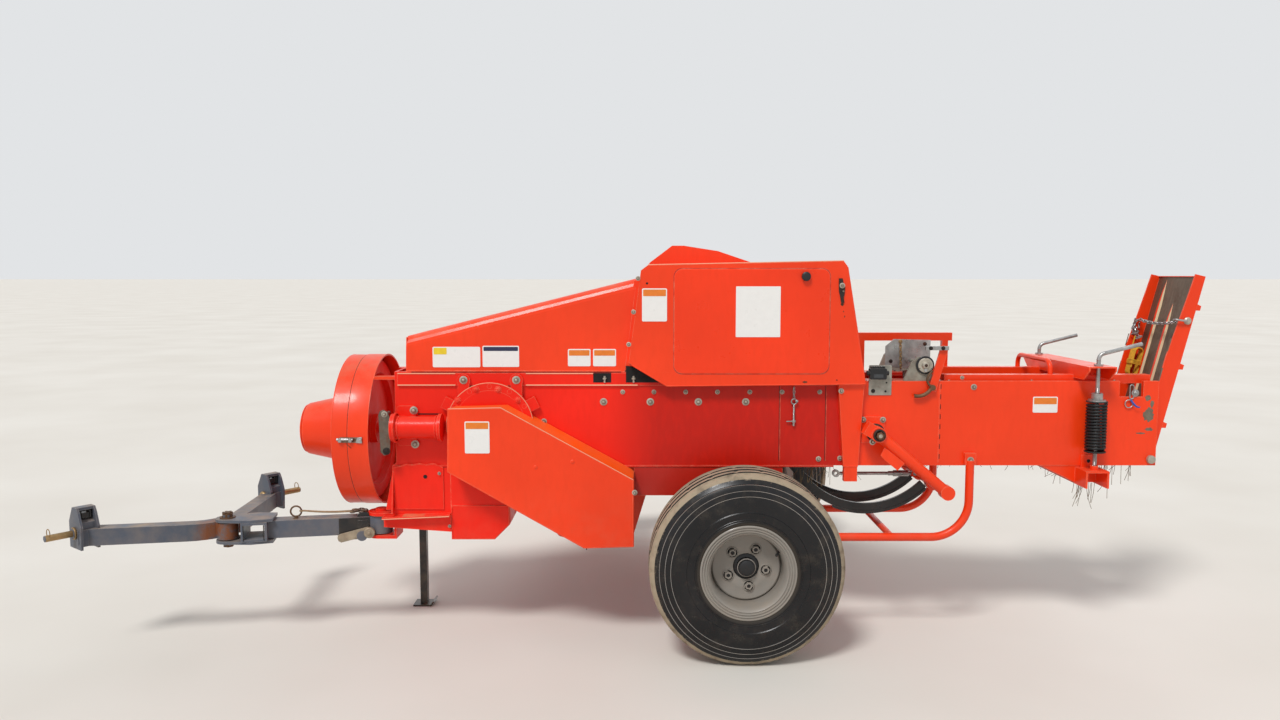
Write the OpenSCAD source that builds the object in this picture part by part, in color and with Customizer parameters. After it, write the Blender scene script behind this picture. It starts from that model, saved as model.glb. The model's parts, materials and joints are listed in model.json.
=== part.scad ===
// Small square baler, parked on its two wheels and its front stand.
// X runs rearward, Y to the machine's right, Z up from the ground. All sizes are in millimetres.

/* [Wheels] */
// Outer radius of a tyre
tyre_r = 422.5; // [400:0.5:440]
// Width of a tyre over its side walls
tyre_w = 290; // [260:5:300]
// Radius of the rim's flange
rim_r = 205; // [200:1:225]
// Depth of the wheel disc behind the rim's outer edge
disc_recess = 100; // [80:5:120]
// Diameter of the wheel nuts' circle
nut_circle_d = 168; // [150:2:190]
// Number of wheel nuts
nut_count = 5; // [4:1:6]
// Middle of the left tyre, across the machine
left_wheel_y = -500; // [-520:5:-480]
// Middle of the right tyre, across the machine
right_wheel_y = 1420; // [1400:10:1500]
// How far the right wheel stands behind the left one
right_wheel_x = 290; // [250:10:320]
// Radius of a wheel spindle
spindle_r = 22; // [18:1:28]

/* [Bale chamber] */
// Width inside the bale chamber
chamber_w = 460; // [440:10:480]
// Height inside the bale chamber
chamber_h = 360; // [350:5:370]
// Thickness of the chamber's side walls
side_t = 20; // [16:1:24]
// Thickness of the chamber's floor and top
floor_t = 15; // [12:1:18]
// Height of the chamber's underside above the ground
chamber_z = 807; // [800:1:815]
// Front end of the crank case
case_x0 = -1578; // [-1600:2:-1560]
// Joint between the crank case and the bale chamber
case_x1 = 470; // [460:5:480]
// Rear end of the bale chamber
chamber_x1 = 1908; // [1850:10:1950]
// Height of the crank case's upper edge
case_z1 = 1240; // [1225:5:1250]

/* [Flywheel] */
// Height of the input shaft
shaft_z = 940; // [930:5:950]
// Radius of the round flywheel guard
drum_r = 357; // [350:1:365]
// Front face of the flywheel guard
drum_x0 = -1842; // [-1860:2:-1830]
// Rear edge of the flywheel guard
drum_x1 = -1675; // [-1690:5:-1660]
// Radius of the flywheel
flywheel_r = 330; // [300:5:338]
// Width of the flywheel's rim
flywheel_w = 80; // [60:5:95]
// Radius of the input shaft's splined end
pto_r = 17.46; // [15:0.01:22]
// Length of the cone in front of the flywheel guard
cone_l = 228; // [200:4:240]

/* [Twine box] */
// Half the width of the twine box over its side panels
box_half_w = 300; // [290:5:310]
// Thickness of the sheet metal
sheet_t = 3; // [2:0.5:4]
// Front edge of the side door
door_x0 = -306; // [-320:2:-290]
// Rear edge of the side door
door_x1 = 390; // [370:2:400]
// Lower edge of the side door
door_z0 = 1236; // [1230:2:1250]
// Upper edge of the side door
door_z1 = 1706; // [1690:2:1708]

/* [Pickup] */
// Height of the reel's axis with the pickup raised
reel_z = 505; // [495:5:520]
// Distance of the reel's axis in front of the left wheel's axle
reel_x = -740; // [-760:5:-720]
// Radius of the tine tips
tine_tip_r = 265; // [250:5:270]
// Radius of the reel's tine bars
tine_bar_r = 150; // [140:5:160]
// Number of tine bars
tine_bar_count = 4; // [4:1:5]
// Left end of the tines
pickup_y0 = 300; // [290:5:310]
// Number of tine pairs on one bar
tine_pairs = 12; // [10:1:14]
// Distance from one pair of tines to the next
tine_pitch = 92; // [84:2:94]

/* [Hitch] */
// Height of the tongue's middle
tongue_z = 520; // [510:5:530]
// Tongue pivot on the front frame, along the machine
tongue_x = -1670; // [-1680:5:-1660]
// Tongue pivot on the front frame, across the machine
tongue_y = -180; // [-190:5:-170]
// Length of the tongue between its two pivots
tongue_l = 681; // [640:10:700]
// Turn of the tongue towards the left
tongue_turn = 10.2; // [0:0.2:14]
// Turn of the hitch beam
hitch_turn = -38.4; // [-45:0.2:0]
// Distance between the two link pins' brackets
hitch_w = 900; // [840:10:920]
// Forward reach of the hitch beam's arms
hitch_reach = 402; // [380:2:420]
// Radius of a link pin
link_pin_r = 14; // [11:0.5:18.5]
// Length of a link pin
link_pin_l = 110; // [95:5:120]

/* [Needles] */
// Yoke pivot, along the machine
yoke_x = 610; // [600:5:620]
// Yoke pivot's height
yoke_z = 965; // [960:5:970]
// Radius of the needles' middle line
needle_r = 385; // [380:1:390]
// Distance between the two needles
needle_gap = 230; // [200:10:240]
// Lever length of the yoke's arms
yoke_l = 415; // [405:5:418]

/* [Bale chute] */
// Length of the bale chute
chute_l = 870; // [800:10:900]
// Backward lean of the folded chute
chute_lean = 13.5; // [10:0.5:16]
// Distance of the chute's pivot from the chamber's rear end
chute_inset = 25; // [20:1:40]
// Chute pivot's height
chute_z = 836; // [830:1:845]

/* [Stand] */
// Middle of the stand's leg, along the machine
stand_x = -1562; // [-1566:2:-1556]
// Middle of the stand's leg, across the machine
stand_y = 190; // [185:5:200]
// Height of the stand's hinge
stand_z = 600; // [580:10:620]

/* [Hidden] */
$fn = 64;

// Clearance between two pieces that stay put and must not touch
seat_gap = 0.3;
// Clearance round a turning piece
run_gap = 6;
// Radial clearance in a bearing
fit_gap = 0.06;

bolt_x = tongue_x - tongue_l * cos(tongue_turn);
bolt_y = tongue_y - tongue_l * sin(tongue_turn);
link_pin_y0 = hitch_w / 2 + 52;
link_pin_z = tongue_z + 20;
front_tip_x = bolt_x - hitch_reach * cos(hitch_turn) + (link_pin_y0 + link_pin_l) * sin(hitch_turn)
    - link_pin_r * cos(hitch_turn);
chute_t = 6;
chute_floor_x = 40;
chute_back = 20;
chute_bolt_z = 655;
chute_x = chamber_x1 - chute_inset;
rear_tip_x = chute_x + (chute_floor_x + chute_t) * cos(chute_lean) + chute_l * sin(chute_lean);

// Offset from the left axle and the chamber's middle to the part's own origin
mid_x = (front_tip_x + rear_tip_x) / 2;
mid_y = (left_wheel_y + right_wheel_y) / 2;

side_y = chamber_w / 2 + side_t;
inner_y = chamber_w / 2;
chamber_z1 = chamber_z + chamber_h + 2 * floor_t;
floor_x1 = chute_x - 35;

orange = [0.93, 0.27, 0.10];
red = [0.72, 0.13, 0.08];
black = [0.08, 0.08, 0.09];
grey = [0.24, 0.26, 0.29];
silver = [0.68, 0.69, 0.71];
zinc = [0.55, 0.55, 0.53];

// A unit vector
function unit(v) = v / norm(v);
// Direction of a line's piece number i
function seg(p, i) = unit(p[i + 1] - p[i]);
// Point i of line p, moved t to the left of the line
function beside(p, i, t) =
    let (
        u = i == 0 ? seg(p, 0) : seg(p, i - 1),
        v = i == len(p) - 1 ? seg(p, len(p) - 2) : seg(p, i)
    )
    p[i] + [-(u[1] + v[1]), u[0] + v[0]] * t / (1 + u * v);
// Outline of a sheet of thickness t whose one face is line p
function sheet_line(p, t) = concat(p, [for (i = [len(p) - 1 : -1 : 0]) beside(p, i, t)]);
// Outline p, given anticlockwise, moved d inward
function inset(p, d) =
    [
        for (i = [0 : len(p) - 1])
            let (
                u = unit(p[i] - p[(i + len(p) - 1) % len(p)]),
                v = unit(p[(i + 1) % len(p)] - p[i])
            )
            p[i] + d * (v - u) / (u[0] * v[1] - u[1] * v[0])
    ];
// An angle brought between -180 and 180
function turn(a) = a > 180 ? a - 360 : a < -180 ? a + 360 : a;
// The arc of radius r that rounds corner b between a and c, in n steps
function corner(a, b, c, r, n) =
    let (
        u = unit(a - b),
        v = unit(c - b),
        half = acos(u * v) / 2,
        m = b + unit(u + v) * r / sin(half),
        s = b + u * r / tan(half) - m,
        e = b + v * r / tan(half) - m,
        a0 = atan2(s[1], s[0]),
        da = turn(atan2(e[1], e[0]) - a0)
    )
    [for (k = [0 : n]) m + r * [cos(a0 + da * k / n), sin(a0 + da * k / n)]];
// Closed outline p with all its corners rounded to radius r
function rounded(p, r, n = 4) =
    [
        for (i = [0 : len(p) - 1])
            each corner(p[(i + len(p) - 1) % len(p)], p[i], p[(i + 1) % len(p)], r, n)
    ];
// Corners of a rectangle
function box2(x, y) = [[x[0], y[0]], [x[1], y[0]], [x[1], y[1]], [x[0], y[1]]];

// A block between pairs of limits
module block(x, y, z) {
    translate([x[0], y[0], z[0]]) cube([x[1] - x[0], y[1] - y[0], z[1] - z[0]]);
}

// A plate with outline p in X and Z, between the two values of y
module plate_xz(p, y) {
    translate([0, y[1], 0]) rotate([90, 0, 0]) linear_extrude(y[1] - y[0]) polygon(p);
}

// A plate with outline p in Y and Z, between the two values of x
module plate_yz(p, x) {
    translate([x[0], 0, 0]) rotate([90, 0, 90]) linear_extrude(x[1] - x[0]) polygon(p);
}

// A plate with outline p in X and Y, between the two values of z
module plate_xy(p, z) {
    translate([0, 0, z[0]]) linear_extrude(z[1] - z[0]) polygon(p);
}

// Turns a piece made along Z so that it lies along X or along Y
module along_x() { rotate([0, 90, 0]) children(); }
module along_y() { rotate([-90, 0, 0]) children(); }

module rod_x(x, y, z, r) { translate([x[0], y, z]) along_x() cylinder(r = r, h = x[1] - x[0]); }
module rod_y(x, y, z, r) { translate([x, y[0], z]) along_y() cylinder(r = r, h = y[1] - y[0]); }
module rod_z(x, y, z, r) { translate([x, y, z[0]]) cylinder(r = r, h = z[1] - z[0]); }

// A round bar from point a to point b, both in X and Z, at one place across the machine
module strut_xz(a, b, y, r) {
    d = b - a;
    translate([a[0], y, a[1]]) rotate([0, 90 - atan2(d[1], d[0]), 0]) cylinder(r = r, h = norm(d));
}

// Mirrors a copy to the other side of the chamber
module both_sides() {
    children();
    mirror([0, 1, 0]) children();
}

// Crank case and chamber

// Raised strip along the case's upper edge
rail_t = 7;
rail_z0 = case_z1 - 62;
module case_left() {
    color(orange) {
        block([case_x0, case_x1], [-side_y, -inner_y], [chamber_z, case_z1]);
        block([case_x0 + 14, post_x], [-side_y - rail_t, -side_y], [rail_z0, case_z1 - 6]);
    }
}

// Opening through which the hay is packed into the chamber
feed_x = [-520, -60];
module case_right() {
    color(orange) difference() {
        union() {
            block([case_x0, case_x1], [inner_y, side_y], [chamber_z, case_z1]);
            block([case_x0 + 14, post_x], [side_y, side_y + rail_t], [rail_z0, case_z1 - 6]);
        }
        block(feed_x, [inner_y - 1, side_y + 1], [chamber_z + floor_t, feed_z1 - feed_t]);
    }
}

case_front_t = 12;
module case_front() {
    color(orange) difference() {
        block([case_x0, case_x0 + case_front_t], [-inner_y, inner_y], [chamber_z, case_z1]);
        rod_x([case_x0 - 1, case_x0 + case_front_t + 1], 0, shaft_z, shaft_r + run_gap);
    }
}

chute_pin_r = 8;
// Gap in the side walls' upper edge, for the hook of the chute's chain
notch_x = [chamber_x1 - 179, chamber_x1 - 70];
notch_z = chamber_z1 - 73;
module chamber_left() {
    p = [
        [case_x1, chamber_z], [chamber_x1, chamber_z], [chamber_x1, chamber_z1], [notch_x[1], chamber_z1],
        [notch_x[1], notch_z], [notch_x[0], notch_z], [notch_x[0], chamber_z1], [case_x1, chamber_z1],
    ];
    color(orange) {
        plate_xz(p, [-side_y, -inner_y]);
        rod_y(chute_x, [-inner_y, -chute_half_w + chute_t + 6], chute_z, chute_pin_r);
        // Head of the chute's bolt
        rod_y(chute_x, [-side_y - 12, -side_y], chute_z, 18);
    }
}

module chamber_right() {
    mirror([0, 1, 0]) chamber_left();
}

// Slots for the two needles, in the floor and in the top
needle_slot_w = 34;
floor_slot_x = [210, 310];
top_slot_x = [245, 355];

module needle_slots(x, z) {
    for (y = [-needle_gap / 2, needle_gap / 2])
        block(x, [y - needle_slot_w / 2, y + needle_slot_w / 2], [z - 1, z + floor_t + 1]);
}

module chamber_floor() {
    color(red) difference() {
        block([case_x0 + case_front_t, floor_x1], [-inner_y, inner_y], [chamber_z, chamber_z + floor_t]);
        needle_slots(floor_slot_x, chamber_z);
    }
}

// The top is closed from the feed opening to behind the knotters, then two rails carry on
top_x = [-620, 560];
rail_w = 90;
module chamber_top() {
    z = [chamber_z1 - floor_t, chamber_z1];
    color(red) difference() {
        union() {
            block(top_x, [-inner_y, inner_y], z);
            for (s = [-1, 1])
                block(
                    [top_x[1], 930],
                    s < 0 ? [-inner_y, -inner_y + rail_w] : [inner_y - rail_w, inner_y],
                    z
                );
        }
        needle_slots(top_slot_x, z[0]);
    }
}

plunger_x = [-1100, -530];
plunger_gap = 4;
module plunger() {
    color(zinc) block(
        plunger_x,
        [-inner_y + plunger_gap, inner_y - plunger_gap],
        [chamber_z + floor_t, chamber_z1 - floor_t - plunger_gap]
    );
}

sub_x = [-486, 196];
sub_z0 = 667;
sub_t = 10;
module sub_frame() {
    color(red) difference() {
        block(sub_x, [-side_y, side_y], [sub_z0, chamber_z]);
        block(
            [sub_x[0] + sub_t, sub_x[1] + 1],
            [-side_y + sub_t, side_y - sub_t],
            [sub_z0 - 1, chamber_z - sub_t]
        );
    }
}

// Front frame with the tongue's clevis

front_x = [-1597, -1330];
front_z0 = 516;
front_t = 10;
tongue_h = 80;
tongue_pin_r = 18;
clevis_t = 15;
clevis_gap = 5;
cheek_t = 8;
cheek_drop = 18;
module front_frame() {
    upper_z = tongue_z + tongue_h / 2 + clevis_gap;
    lower_z = tongue_z - tongue_h / 2 - clevis_gap - clevis_t;
    color(orange) difference() {
        union() {
            difference() {
                block(front_x, [-side_y, side_y], [front_z0, chamber_z]);
                block(
                    [front_x[0] + front_t, front_x[1] + 1],
                    [-side_y + front_t, side_y - front_t],
                    [front_z0 - 1, chamber_z - front_t]
                );
            }
            for (z = [upper_z, lower_z]) {
                block([tongue_x, front_x[0] + front_t], [tongue_y - 60, tongue_y + 60], [z, z + clevis_t]);
                rod_z(tongue_x, tongue_y, [z, z + clevis_t], 60);
            }
            block(
                [front_x[0], front_x[0] + front_t],
                [tongue_y - 60, tongue_y + 60],
                [lower_z, front_z0]
            );
            // Tapered side cheek with its flange, along the frame's lower left edge
            plate_xz(
                [
                    [front_x[1], front_z0 - cheek_drop], [front_x[1], front_z0 + 62], [tongue_x + 30, upper_z],
                    [tongue_x + 30, front_z0 + 4],
                ],
                [-side_y - cheek_t, -side_y]
            );
            plate_xz(
                [
                    [front_x[1], front_z0 + 62], [front_x[1], front_z0 + 70], [tongue_x + 30, upper_z + 8],
                    [tongue_x + 30, upper_z],
                ],
                [-side_y - 42, -side_y]
            );
            // Front gusset
            plate_xz([[front_x[0], 600], [front_x[0], 780], [front_x[0] - 34, 600]], [-side_y, -side_y + 10]);
        }
        rod_z(tongue_x, tongue_y, [lower_z - 1, upper_z + clevis_t + 1], tongue_pin_r);
        // The stand folds back through the frame's open underside and rear
        block([stand_x - 60, front_x[1] + 1], [stand_y - 50, stand_y + 50], [front_z0 - 1, front_z0]);
    }
    color(silver) {
        rod_z(tongue_x, tongue_y, [lower_z - 12, upper_z + clevis_t], tongue_pin_r);
        rod_z(tongue_x, tongue_y, [upper_z + clevis_t, upper_z + clevis_t + 12], 28);
    }
    // Ears and pin of the parking stand, under the frame's top
    color(orange) {
        for (s = [-1, 1])
            block(
                [stand_hinge_x - 24, stand_hinge_x + 24],
                s < 0 ? [stand_y - stand_half - 9, stand_y - stand_half - 1]
                    : [stand_y + stand_half + 1, stand_y + stand_half + 9],
                [stand_hinge_z - 24, chamber_z - front_t]
            );
        rod_y(stand_hinge_x, [stand_y - stand_half - 9, stand_y + stand_half + 9], stand_hinge_z, stand_pin_r);
    }
}

housing_x = [front_x[1], -1060];
housing_y = [-side_y, 120];
housing_z0 = 460;
housing_cut = 70;
housing_step = 8;
housing_step_z = 620;
module lower_housing() {
    p = [
        [housing_x[0], housing_z0],
        [housing_x[1] - housing_cut, housing_z0],
        [housing_x[1], housing_z0 + housing_cut],
        [housing_x[1], chamber_z],
        [housing_x[0], chamber_z],
    ];
    low = [
        [housing_x[0] + 2, housing_z0 + 4],
        [housing_x[1] - housing_cut - 2, housing_z0 + 4],
        [housing_x[1] - 4, housing_z0 + housing_cut + 2],
        [housing_x[1] - 4, housing_step_z],
        [housing_x[0] + 2, housing_step_z],
    ];
    color(red) {
        plate_xz(p, housing_y);
        plate_xz(low, [housing_y[0] - housing_step, housing_y[0]]);
    }
}

// Drive

gearbox_x = [-1500, -1150];
gearbox_half_w = 170;
gearbox_h = 260;
shaft_r = 25;
module gearbox() {
    color(grey) difference() {
        union() {
            block(
                gearbox_x,
                [-gearbox_half_w, gearbox_half_w],
                [chamber_z + floor_t, chamber_z + floor_t + gearbox_h]
            );
            rod_x([case_x0 + case_front_t, gearbox_x[0]], 0, shaft_z, 70);
        }
        rod_x([case_x0 + case_front_t - 1, gearbox_x[0] + 60], 0, shaft_z, shaft_r + fit_gap);
    }
}

cover_x = -1140;
cover_z = 996;
cover_r = 197;
cover_t = 35;
eye_r = 30;
cover_bolts = [30, 60, 90, 120, 150, 205, 335];
module gearbox_cover() {
    y = -side_y - rail_t;
    color(orange) {
        rod_y(cover_x, [y, -side_y], cover_z, rail_z0 - cover_z - 4);
        rod_y(cover_x, [y - cover_t + rail_t, y], cover_z, cover_r);
        rod_y(cover_x, [y - cover_t + 2, y - cover_t + rail_t], cover_z, cover_r - 34);
        for (a = cover_bolts)
            rod_y(
                cover_x + (cover_r - 16) * cos(a),
                [y - cover_t + 2, y - cover_t + rail_t],
                cover_z + (cover_r - 16) * sin(a),
                11
            );
        // Two eyes above it, bolted to the case's upper rail
        for (s = [-1, 1]) {
            rod_y(cover_x + s * 120, [y - 14, y - 1], case_z1 - 38, eye_r);
            block([cover_x + s * 120 - 26, cover_x + s * 120 + 26], [y - 14, y - 1], [cover_z + 110, case_z1 - 38]);
        }
        // Square ears on its rim
        for (a = [27, 153])
            translate([cover_x, y, cover_z]) rotate([0, -a, 0])
                block([cover_r - 20, cover_r + 42], [-18, -2], [-28, 28]);
    }
}

drive_tube_y = -side_y - 62;
drive_tube_z = 993;
drive_tube_r = 50;
drive_flange_r = 62;
drive_x = [case_x0, -1352];
module side_drive() {
    flange_t = 14;
    color(orange) {
        rod_x([drive_x[0] + flange_t, drive_x[1] - flange_t], drive_tube_y, drive_tube_z, drive_tube_r);
        rod_x([drive_x[0], drive_x[0] + flange_t], drive_tube_y, drive_tube_z, drive_flange_r);
        rod_x([drive_x[1] - flange_t, drive_x[1]], drive_tube_y, drive_tube_z, drive_flange_r);
        // Two bolted lugs hold the tube to the case
        for (s = [-1, 1])
            plate_xz(
                rounded(
                    box2(
                        [drive_x[0] + 10, drive_x[0] + 96],
                        [drive_tube_z + s * 66 - 26, drive_tube_z + s * 66 + 26]
                    ),
                    14
                ),
                [-side_y - 12, -side_y]
            );
        block([drive_x[0] + 10, drive_x[0] + 96], [drive_tube_y, -side_y], [drive_tube_z - 44, drive_tube_z + 44]);
    }
}

guard_y = [-380, -292];
guard_t = 4;
guard_outline = [
    [-1316, 804], [-710, 458], [-490, 464], [-490, 766], [-1077, 1090], [-1310, 1085],
];
guard_studs = [[-760, 850], [-925, 825]];
module belt_guard() {
    color(orange) {
        difference() {
            plate_xz(guard_outline, guard_y);
            plate_xz(inset(guard_outline, guard_t), [guard_y[0] + guard_t, guard_y[1] + 1]);
        }
        for (s = guard_studs)
            rod_y(s[0], [guard_y[0] + guard_t, -side_y], s[1], 12);
    }
}

drum_t = 4;
drum_hole_r = 90;
strap_w = 50;
module flywheel_guard() {
    color(orange) {
        translate([drum_x0, 0, shaft_z]) along_x() rotate_extrude() polygon(
            sheet_line([[drum_hole_r, 0], [drum_r, 0], [drum_r, drum_x1 - drum_x0]], drum_t)
        );
        for (s = [-1, 1])
            translate([drum_x1, s * (side_y - strap_w / 2 - 12) - strap_w / 2, shaft_z + 262])
                cube([case_x0 - drum_x1, strap_w, 14]);
    }
}

cone_r0 = 165;
cone_r1 = 120;
module pto_cone() {
    color(orange) translate([drum_x0, 0, shaft_z]) rotate([0, -90, 0]) rotate_extrude() polygon(
        sheet_line([[cone_r0 + 18, 0], [cone_r0, 0], [cone_r1, cone_l - 20], [cone_r1 - 22, cone_l]], -sheet_t)
    );
}

flywheel_x = -1720;
module flywheel() {
    p = [
        [shaft_r + fit_gap, -flywheel_w / 2], [70, -flywheel_w / 2], [70, -12], [flywheel_r - 70, -12],
        [flywheel_r - 60, -flywheel_w / 2], [flywheel_r, -flywheel_w / 2], [flywheel_r, flywheel_w / 2],
        [flywheel_r - 60, flywheel_w / 2], [flywheel_r - 70, 12], [70, 12], [70, flywheel_w / 2],
        [shaft_r + fit_gap, flywheel_w / 2],
    ];
    color(red) translate([flywheel_x - 40, 0, shaft_z]) along_x() rotate_extrude() polygon(p);
}

spline_l = 76;
shaft_x0 = -2040;
module input_shaft() {
    color(silver) {
        rod_x([shaft_x0, shaft_x0 + spline_l], 0, shaft_z, pto_r);
        rod_x([shaft_x0 + spline_l, gearbox_x[0] + 50], 0, shaft_z, shaft_r);
    }
}

// Covers

hood_slope = [[-1521, 1401], [-473, 1663]];
hood_z0 = case_z1;
hood_round = 45;
module front_hood() {
    a = atan2(hood_slope[1][1] - hood_slope[0][1], hood_slope[1][0] - hood_slope[0][0]);
    side = [
        [hood_slope[0][0] - 4, hood_z0], [-528, hood_z0], hood_slope[1], hood_slope[0],
    ];
    arch = concat(
        [[-side_y, -500]],
        corner([-side_y, -500], [-side_y, 0], [side_y, 0], hood_round, 5),
        corner([-side_y, 0], [side_y, 0], [side_y, -500], hood_round, 5),
        [[side_y, -500]]
    );
    color(orange) intersection() {
        plate_xz(side, [-side_y - 1, side_y + 1]);
        union() {
            translate([hood_slope[0][0] - 100, 0, hood_slope[0][1] - 100 * tan(a)])
                rotate([0, -a, 0]) rotate([90, 0, 90]) linear_extrude(1300) polygon(sheet_line(arch, -sheet_t));
            block([hood_slope[0][0] - 10, hood_slope[0][0] + sheet_t], [-side_y + 2, side_y - 2], [hood_z0, 1397]);
        }
    }
}

box_outline = [
    [-510, 1285], [-338, 1178], [557, 1187], [467, 1717], [450, 1740], [-424, 1722], [-455, 1699],
];
box_floor_z = case_z1 + seat_gap;
module twine_box() {
    top_line = [[-510, 1285], [-455, 1699], [-424, 1722], [450, 1740], [467, 1717]];
    color(orange) difference() {
        union() {
            both_sides() plate_xz(box_outline, [-box_half_w, -box_half_w + sheet_t]);
            plate_xz(sheet_line(top_line, -sheet_t), [-box_half_w + sheet_t, box_half_w - sheet_t]);
            block([-440, 160], [-box_half_w + sheet_t, box_half_w - sheet_t], [box_floor_z, box_floor_z + sheet_t]);
        }
        plate_xz(
            rounded(inset(box2([door_x0, door_x1], [door_z0, door_z1]), 16), 24),
            [-box_half_w - 1, -box_half_w + sheet_t + 1]
        );
        block([lid_x[0] + 30, lid_x[1] - 30], [lid_y[0] + 30, lid_y[1] - 30], [1700, 1760]);
    }
}

door_hinge_r = 7;
door_t = 4;
door_y = -box_half_w - door_t - seat_gap;
module twine_door() {
    color(orange) {
        plate_xz(rounded(box2([door_x0, door_x1], [door_z0, door_z1]), 26), [door_y, door_y + door_t]);
    }
    color(black) rod_y(280, [door_y - 22, door_y], 1672, 18);
}

lid_x = [-415, 75];
lid_y = [-90, 285];
lid_hinge_y = lid_y[1];
lid_hinge_z = 1736;
module twine_lid() {
    under = [for (x = [lid_x[0], lid_x[1]]) [x, 1740 + 18 * (x - 450) / 874 + seat_gap]];
    p = [under[0], under[1], [-95, 1790], [-255, 1815], [-309, 1815], [lid_x[0], 1735]];
    color(orange) plate_xz(p, lid_y);
}

knotter_x = 424;
knotter_z = chamber_z1 + 190;
knotter_frame = [[-45, 0], [62, 0], [70, 70], [34, 215], [-34, 215], [-45, 150]];
module knotters() {
    color(zinc) for (y = [-needle_gap / 2, needle_gap / 2]) {
        // Cast frame of two cheeks on a foot
        for (s = [-1, 1])
            plate_xz(
                [for (v = knotter_frame) [knotter_x + v[0], chamber_z1 + 12 + v[1]]],
                s < 0 ? [y - 42, y - 32] : [y + 32, y + 42]
            );
        block([knotter_x - 45, knotter_x + 75], [y - 55, y + 55], [chamber_z1, chamber_z1 + 12]);
        // Cam gear and its hub on the knotter shaft
        rod_y(knotter_x, [y - 9, y + 9], knotter_z, 92);
        rod_y(knotter_x, [y - 24, y + 24], knotter_z, 34);
        // Twine disc and bill hook's housing
        rod_y(knotter_x + 2, [y - 30, y + 30], chamber_z1 + 66, 24);
        rod_y(knotter_x + 48, [y - 31, y + 31], chamber_z1 + 52, 13);
    }
    color(silver) {
        rod_y(knotter_x, [-side_y + 20, side_y - 20], knotter_z, 18);
        rod_y(knotter_x, [side_y - 55, side_y - 35], knotter_z, 110);
    }
    color(orange) for (y = [-side_y + 20, side_y - 30])
        block([knotter_x - 26, knotter_x + 26], [y, y + 10], [chamber_z1, knotter_z + 30]);
}

// Needles

yoke_pin_r = 20;
yoke_y = -325;
yoke_angle = -40;
yoke_tube_r = 26;
yoke_plate = [[-56, -51], [48, -51], [48, 55], [34, 69], [-46, 69], [-56, 59]];
module yoke_bearings() {
    color(orange) both_sides() {
        plate_xz([for (v = yoke_plate) [yoke_x + v[0], yoke_z + v[1]]], [-side_y - 8, -side_y]);
        rod_y(yoke_x, [-side_y - 34, -side_y - 8], yoke_z, 38);
    }
    color(silver) both_sides() rod_y(yoke_x, [yoke_y - 45, -side_y - 34], yoke_z, yoke_pin_r);
}

module needle_yoke() {
    end = [yoke_x + yoke_l * cos(yoke_angle), yoke_z + yoke_l * sin(yoke_angle)];
    color(orange) difference() {
        union() {
            both_sides() {
                rod_y(yoke_x, [yoke_y - 34, yoke_y + 34], yoke_z, 34);
                // Clamp block on the pivot
                translate([yoke_x, 0, yoke_z]) rotate([0, -150, 0])
                    block([0, 62], [yoke_y - 26, yoke_y + 26], [-30, 30]);
                strut_xz([yoke_x, yoke_z], end, yoke_y, yoke_tube_r);
                rod_y(end[0], [yoke_y - yoke_tube_r - 1, yoke_y + yoke_tube_r + 1], end[1], yoke_tube_r + 6);
            }
            rod_y(end[0], [yoke_y, -yoke_y], end[1], yoke_tube_r - 3);
            // Lugs of the needles and of the drive rod, on the cross tube
            for (y = [-needle_gap / 2, needle_gap / 2])
                rod_y(end[0], [y - 22, y + 22], end[1], yoke_tube_r + 8);
            translate([end[0], 0, end[1]]) rotate([0, -rod_lug_angle, 0])
                for (s = [-1, 1])
                    block([0, rod_lug_l + 16], s < 0 ? [-18, -10] : [10, 18], [-16, 16]);
        }
        both_sides() rod_y(yoke_x, [yoke_y - 60, yoke_y + 60], yoke_z, yoke_pin_r + fit_gap);
        translate([end[0], 0, end[1]]) rotate([0, -rod_lug_angle, 0])
            rod_y(rod_lug_l, [-30, 30], 0, rod_pin_r + fit_gap);
    }
}

// Rod from the yoke's lug forward, with an open eye at its front end
rod_lug_l = 58;
rod_lug_angle = 160;
rod_pin_r = 9;
rod_l = 380;
rod_lug = [
    yoke_x + yoke_l * cos(yoke_angle) + rod_lug_l * cos(rod_lug_angle),
    yoke_z + yoke_l * sin(yoke_angle) + rod_lug_l * sin(rod_lug_angle),
];
module needle_rod() {
    color(zinc) {
        rod_y(rod_lug[0], [-18, 18], rod_lug[1], rod_pin_r);
        difference() {
            union() {
                rod_y(rod_lug[0], [-9, 9], rod_lug[1], 17);
                rod_x([rod_lug[0] - 30, rod_lug[0] - 12], 0, rod_lug[1], 7.5);
                rod_x([rod_lug[0] - 100, rod_lug[0] - 28], 0, rod_lug[1], 15);
                rod_x([rod_lug[0] - 124, rod_lug[0] - 100], 0, rod_lug[1], 11);
                rod_x([rod_lug[0] - rod_l, rod_lug[0] - 124], 0, rod_lug[1], 8);
                rod_y(rod_lug[0] - rod_l, [-9, 9], rod_lug[1], 18);
            }
            rod_y(rod_lug[0], [-10, 10], rod_lug[1], rod_pin_r);
            rod_y(rod_lug[0] - rod_l, [-10, 10], rod_lug[1], rod_pin_r);
        }
    }
}

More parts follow.
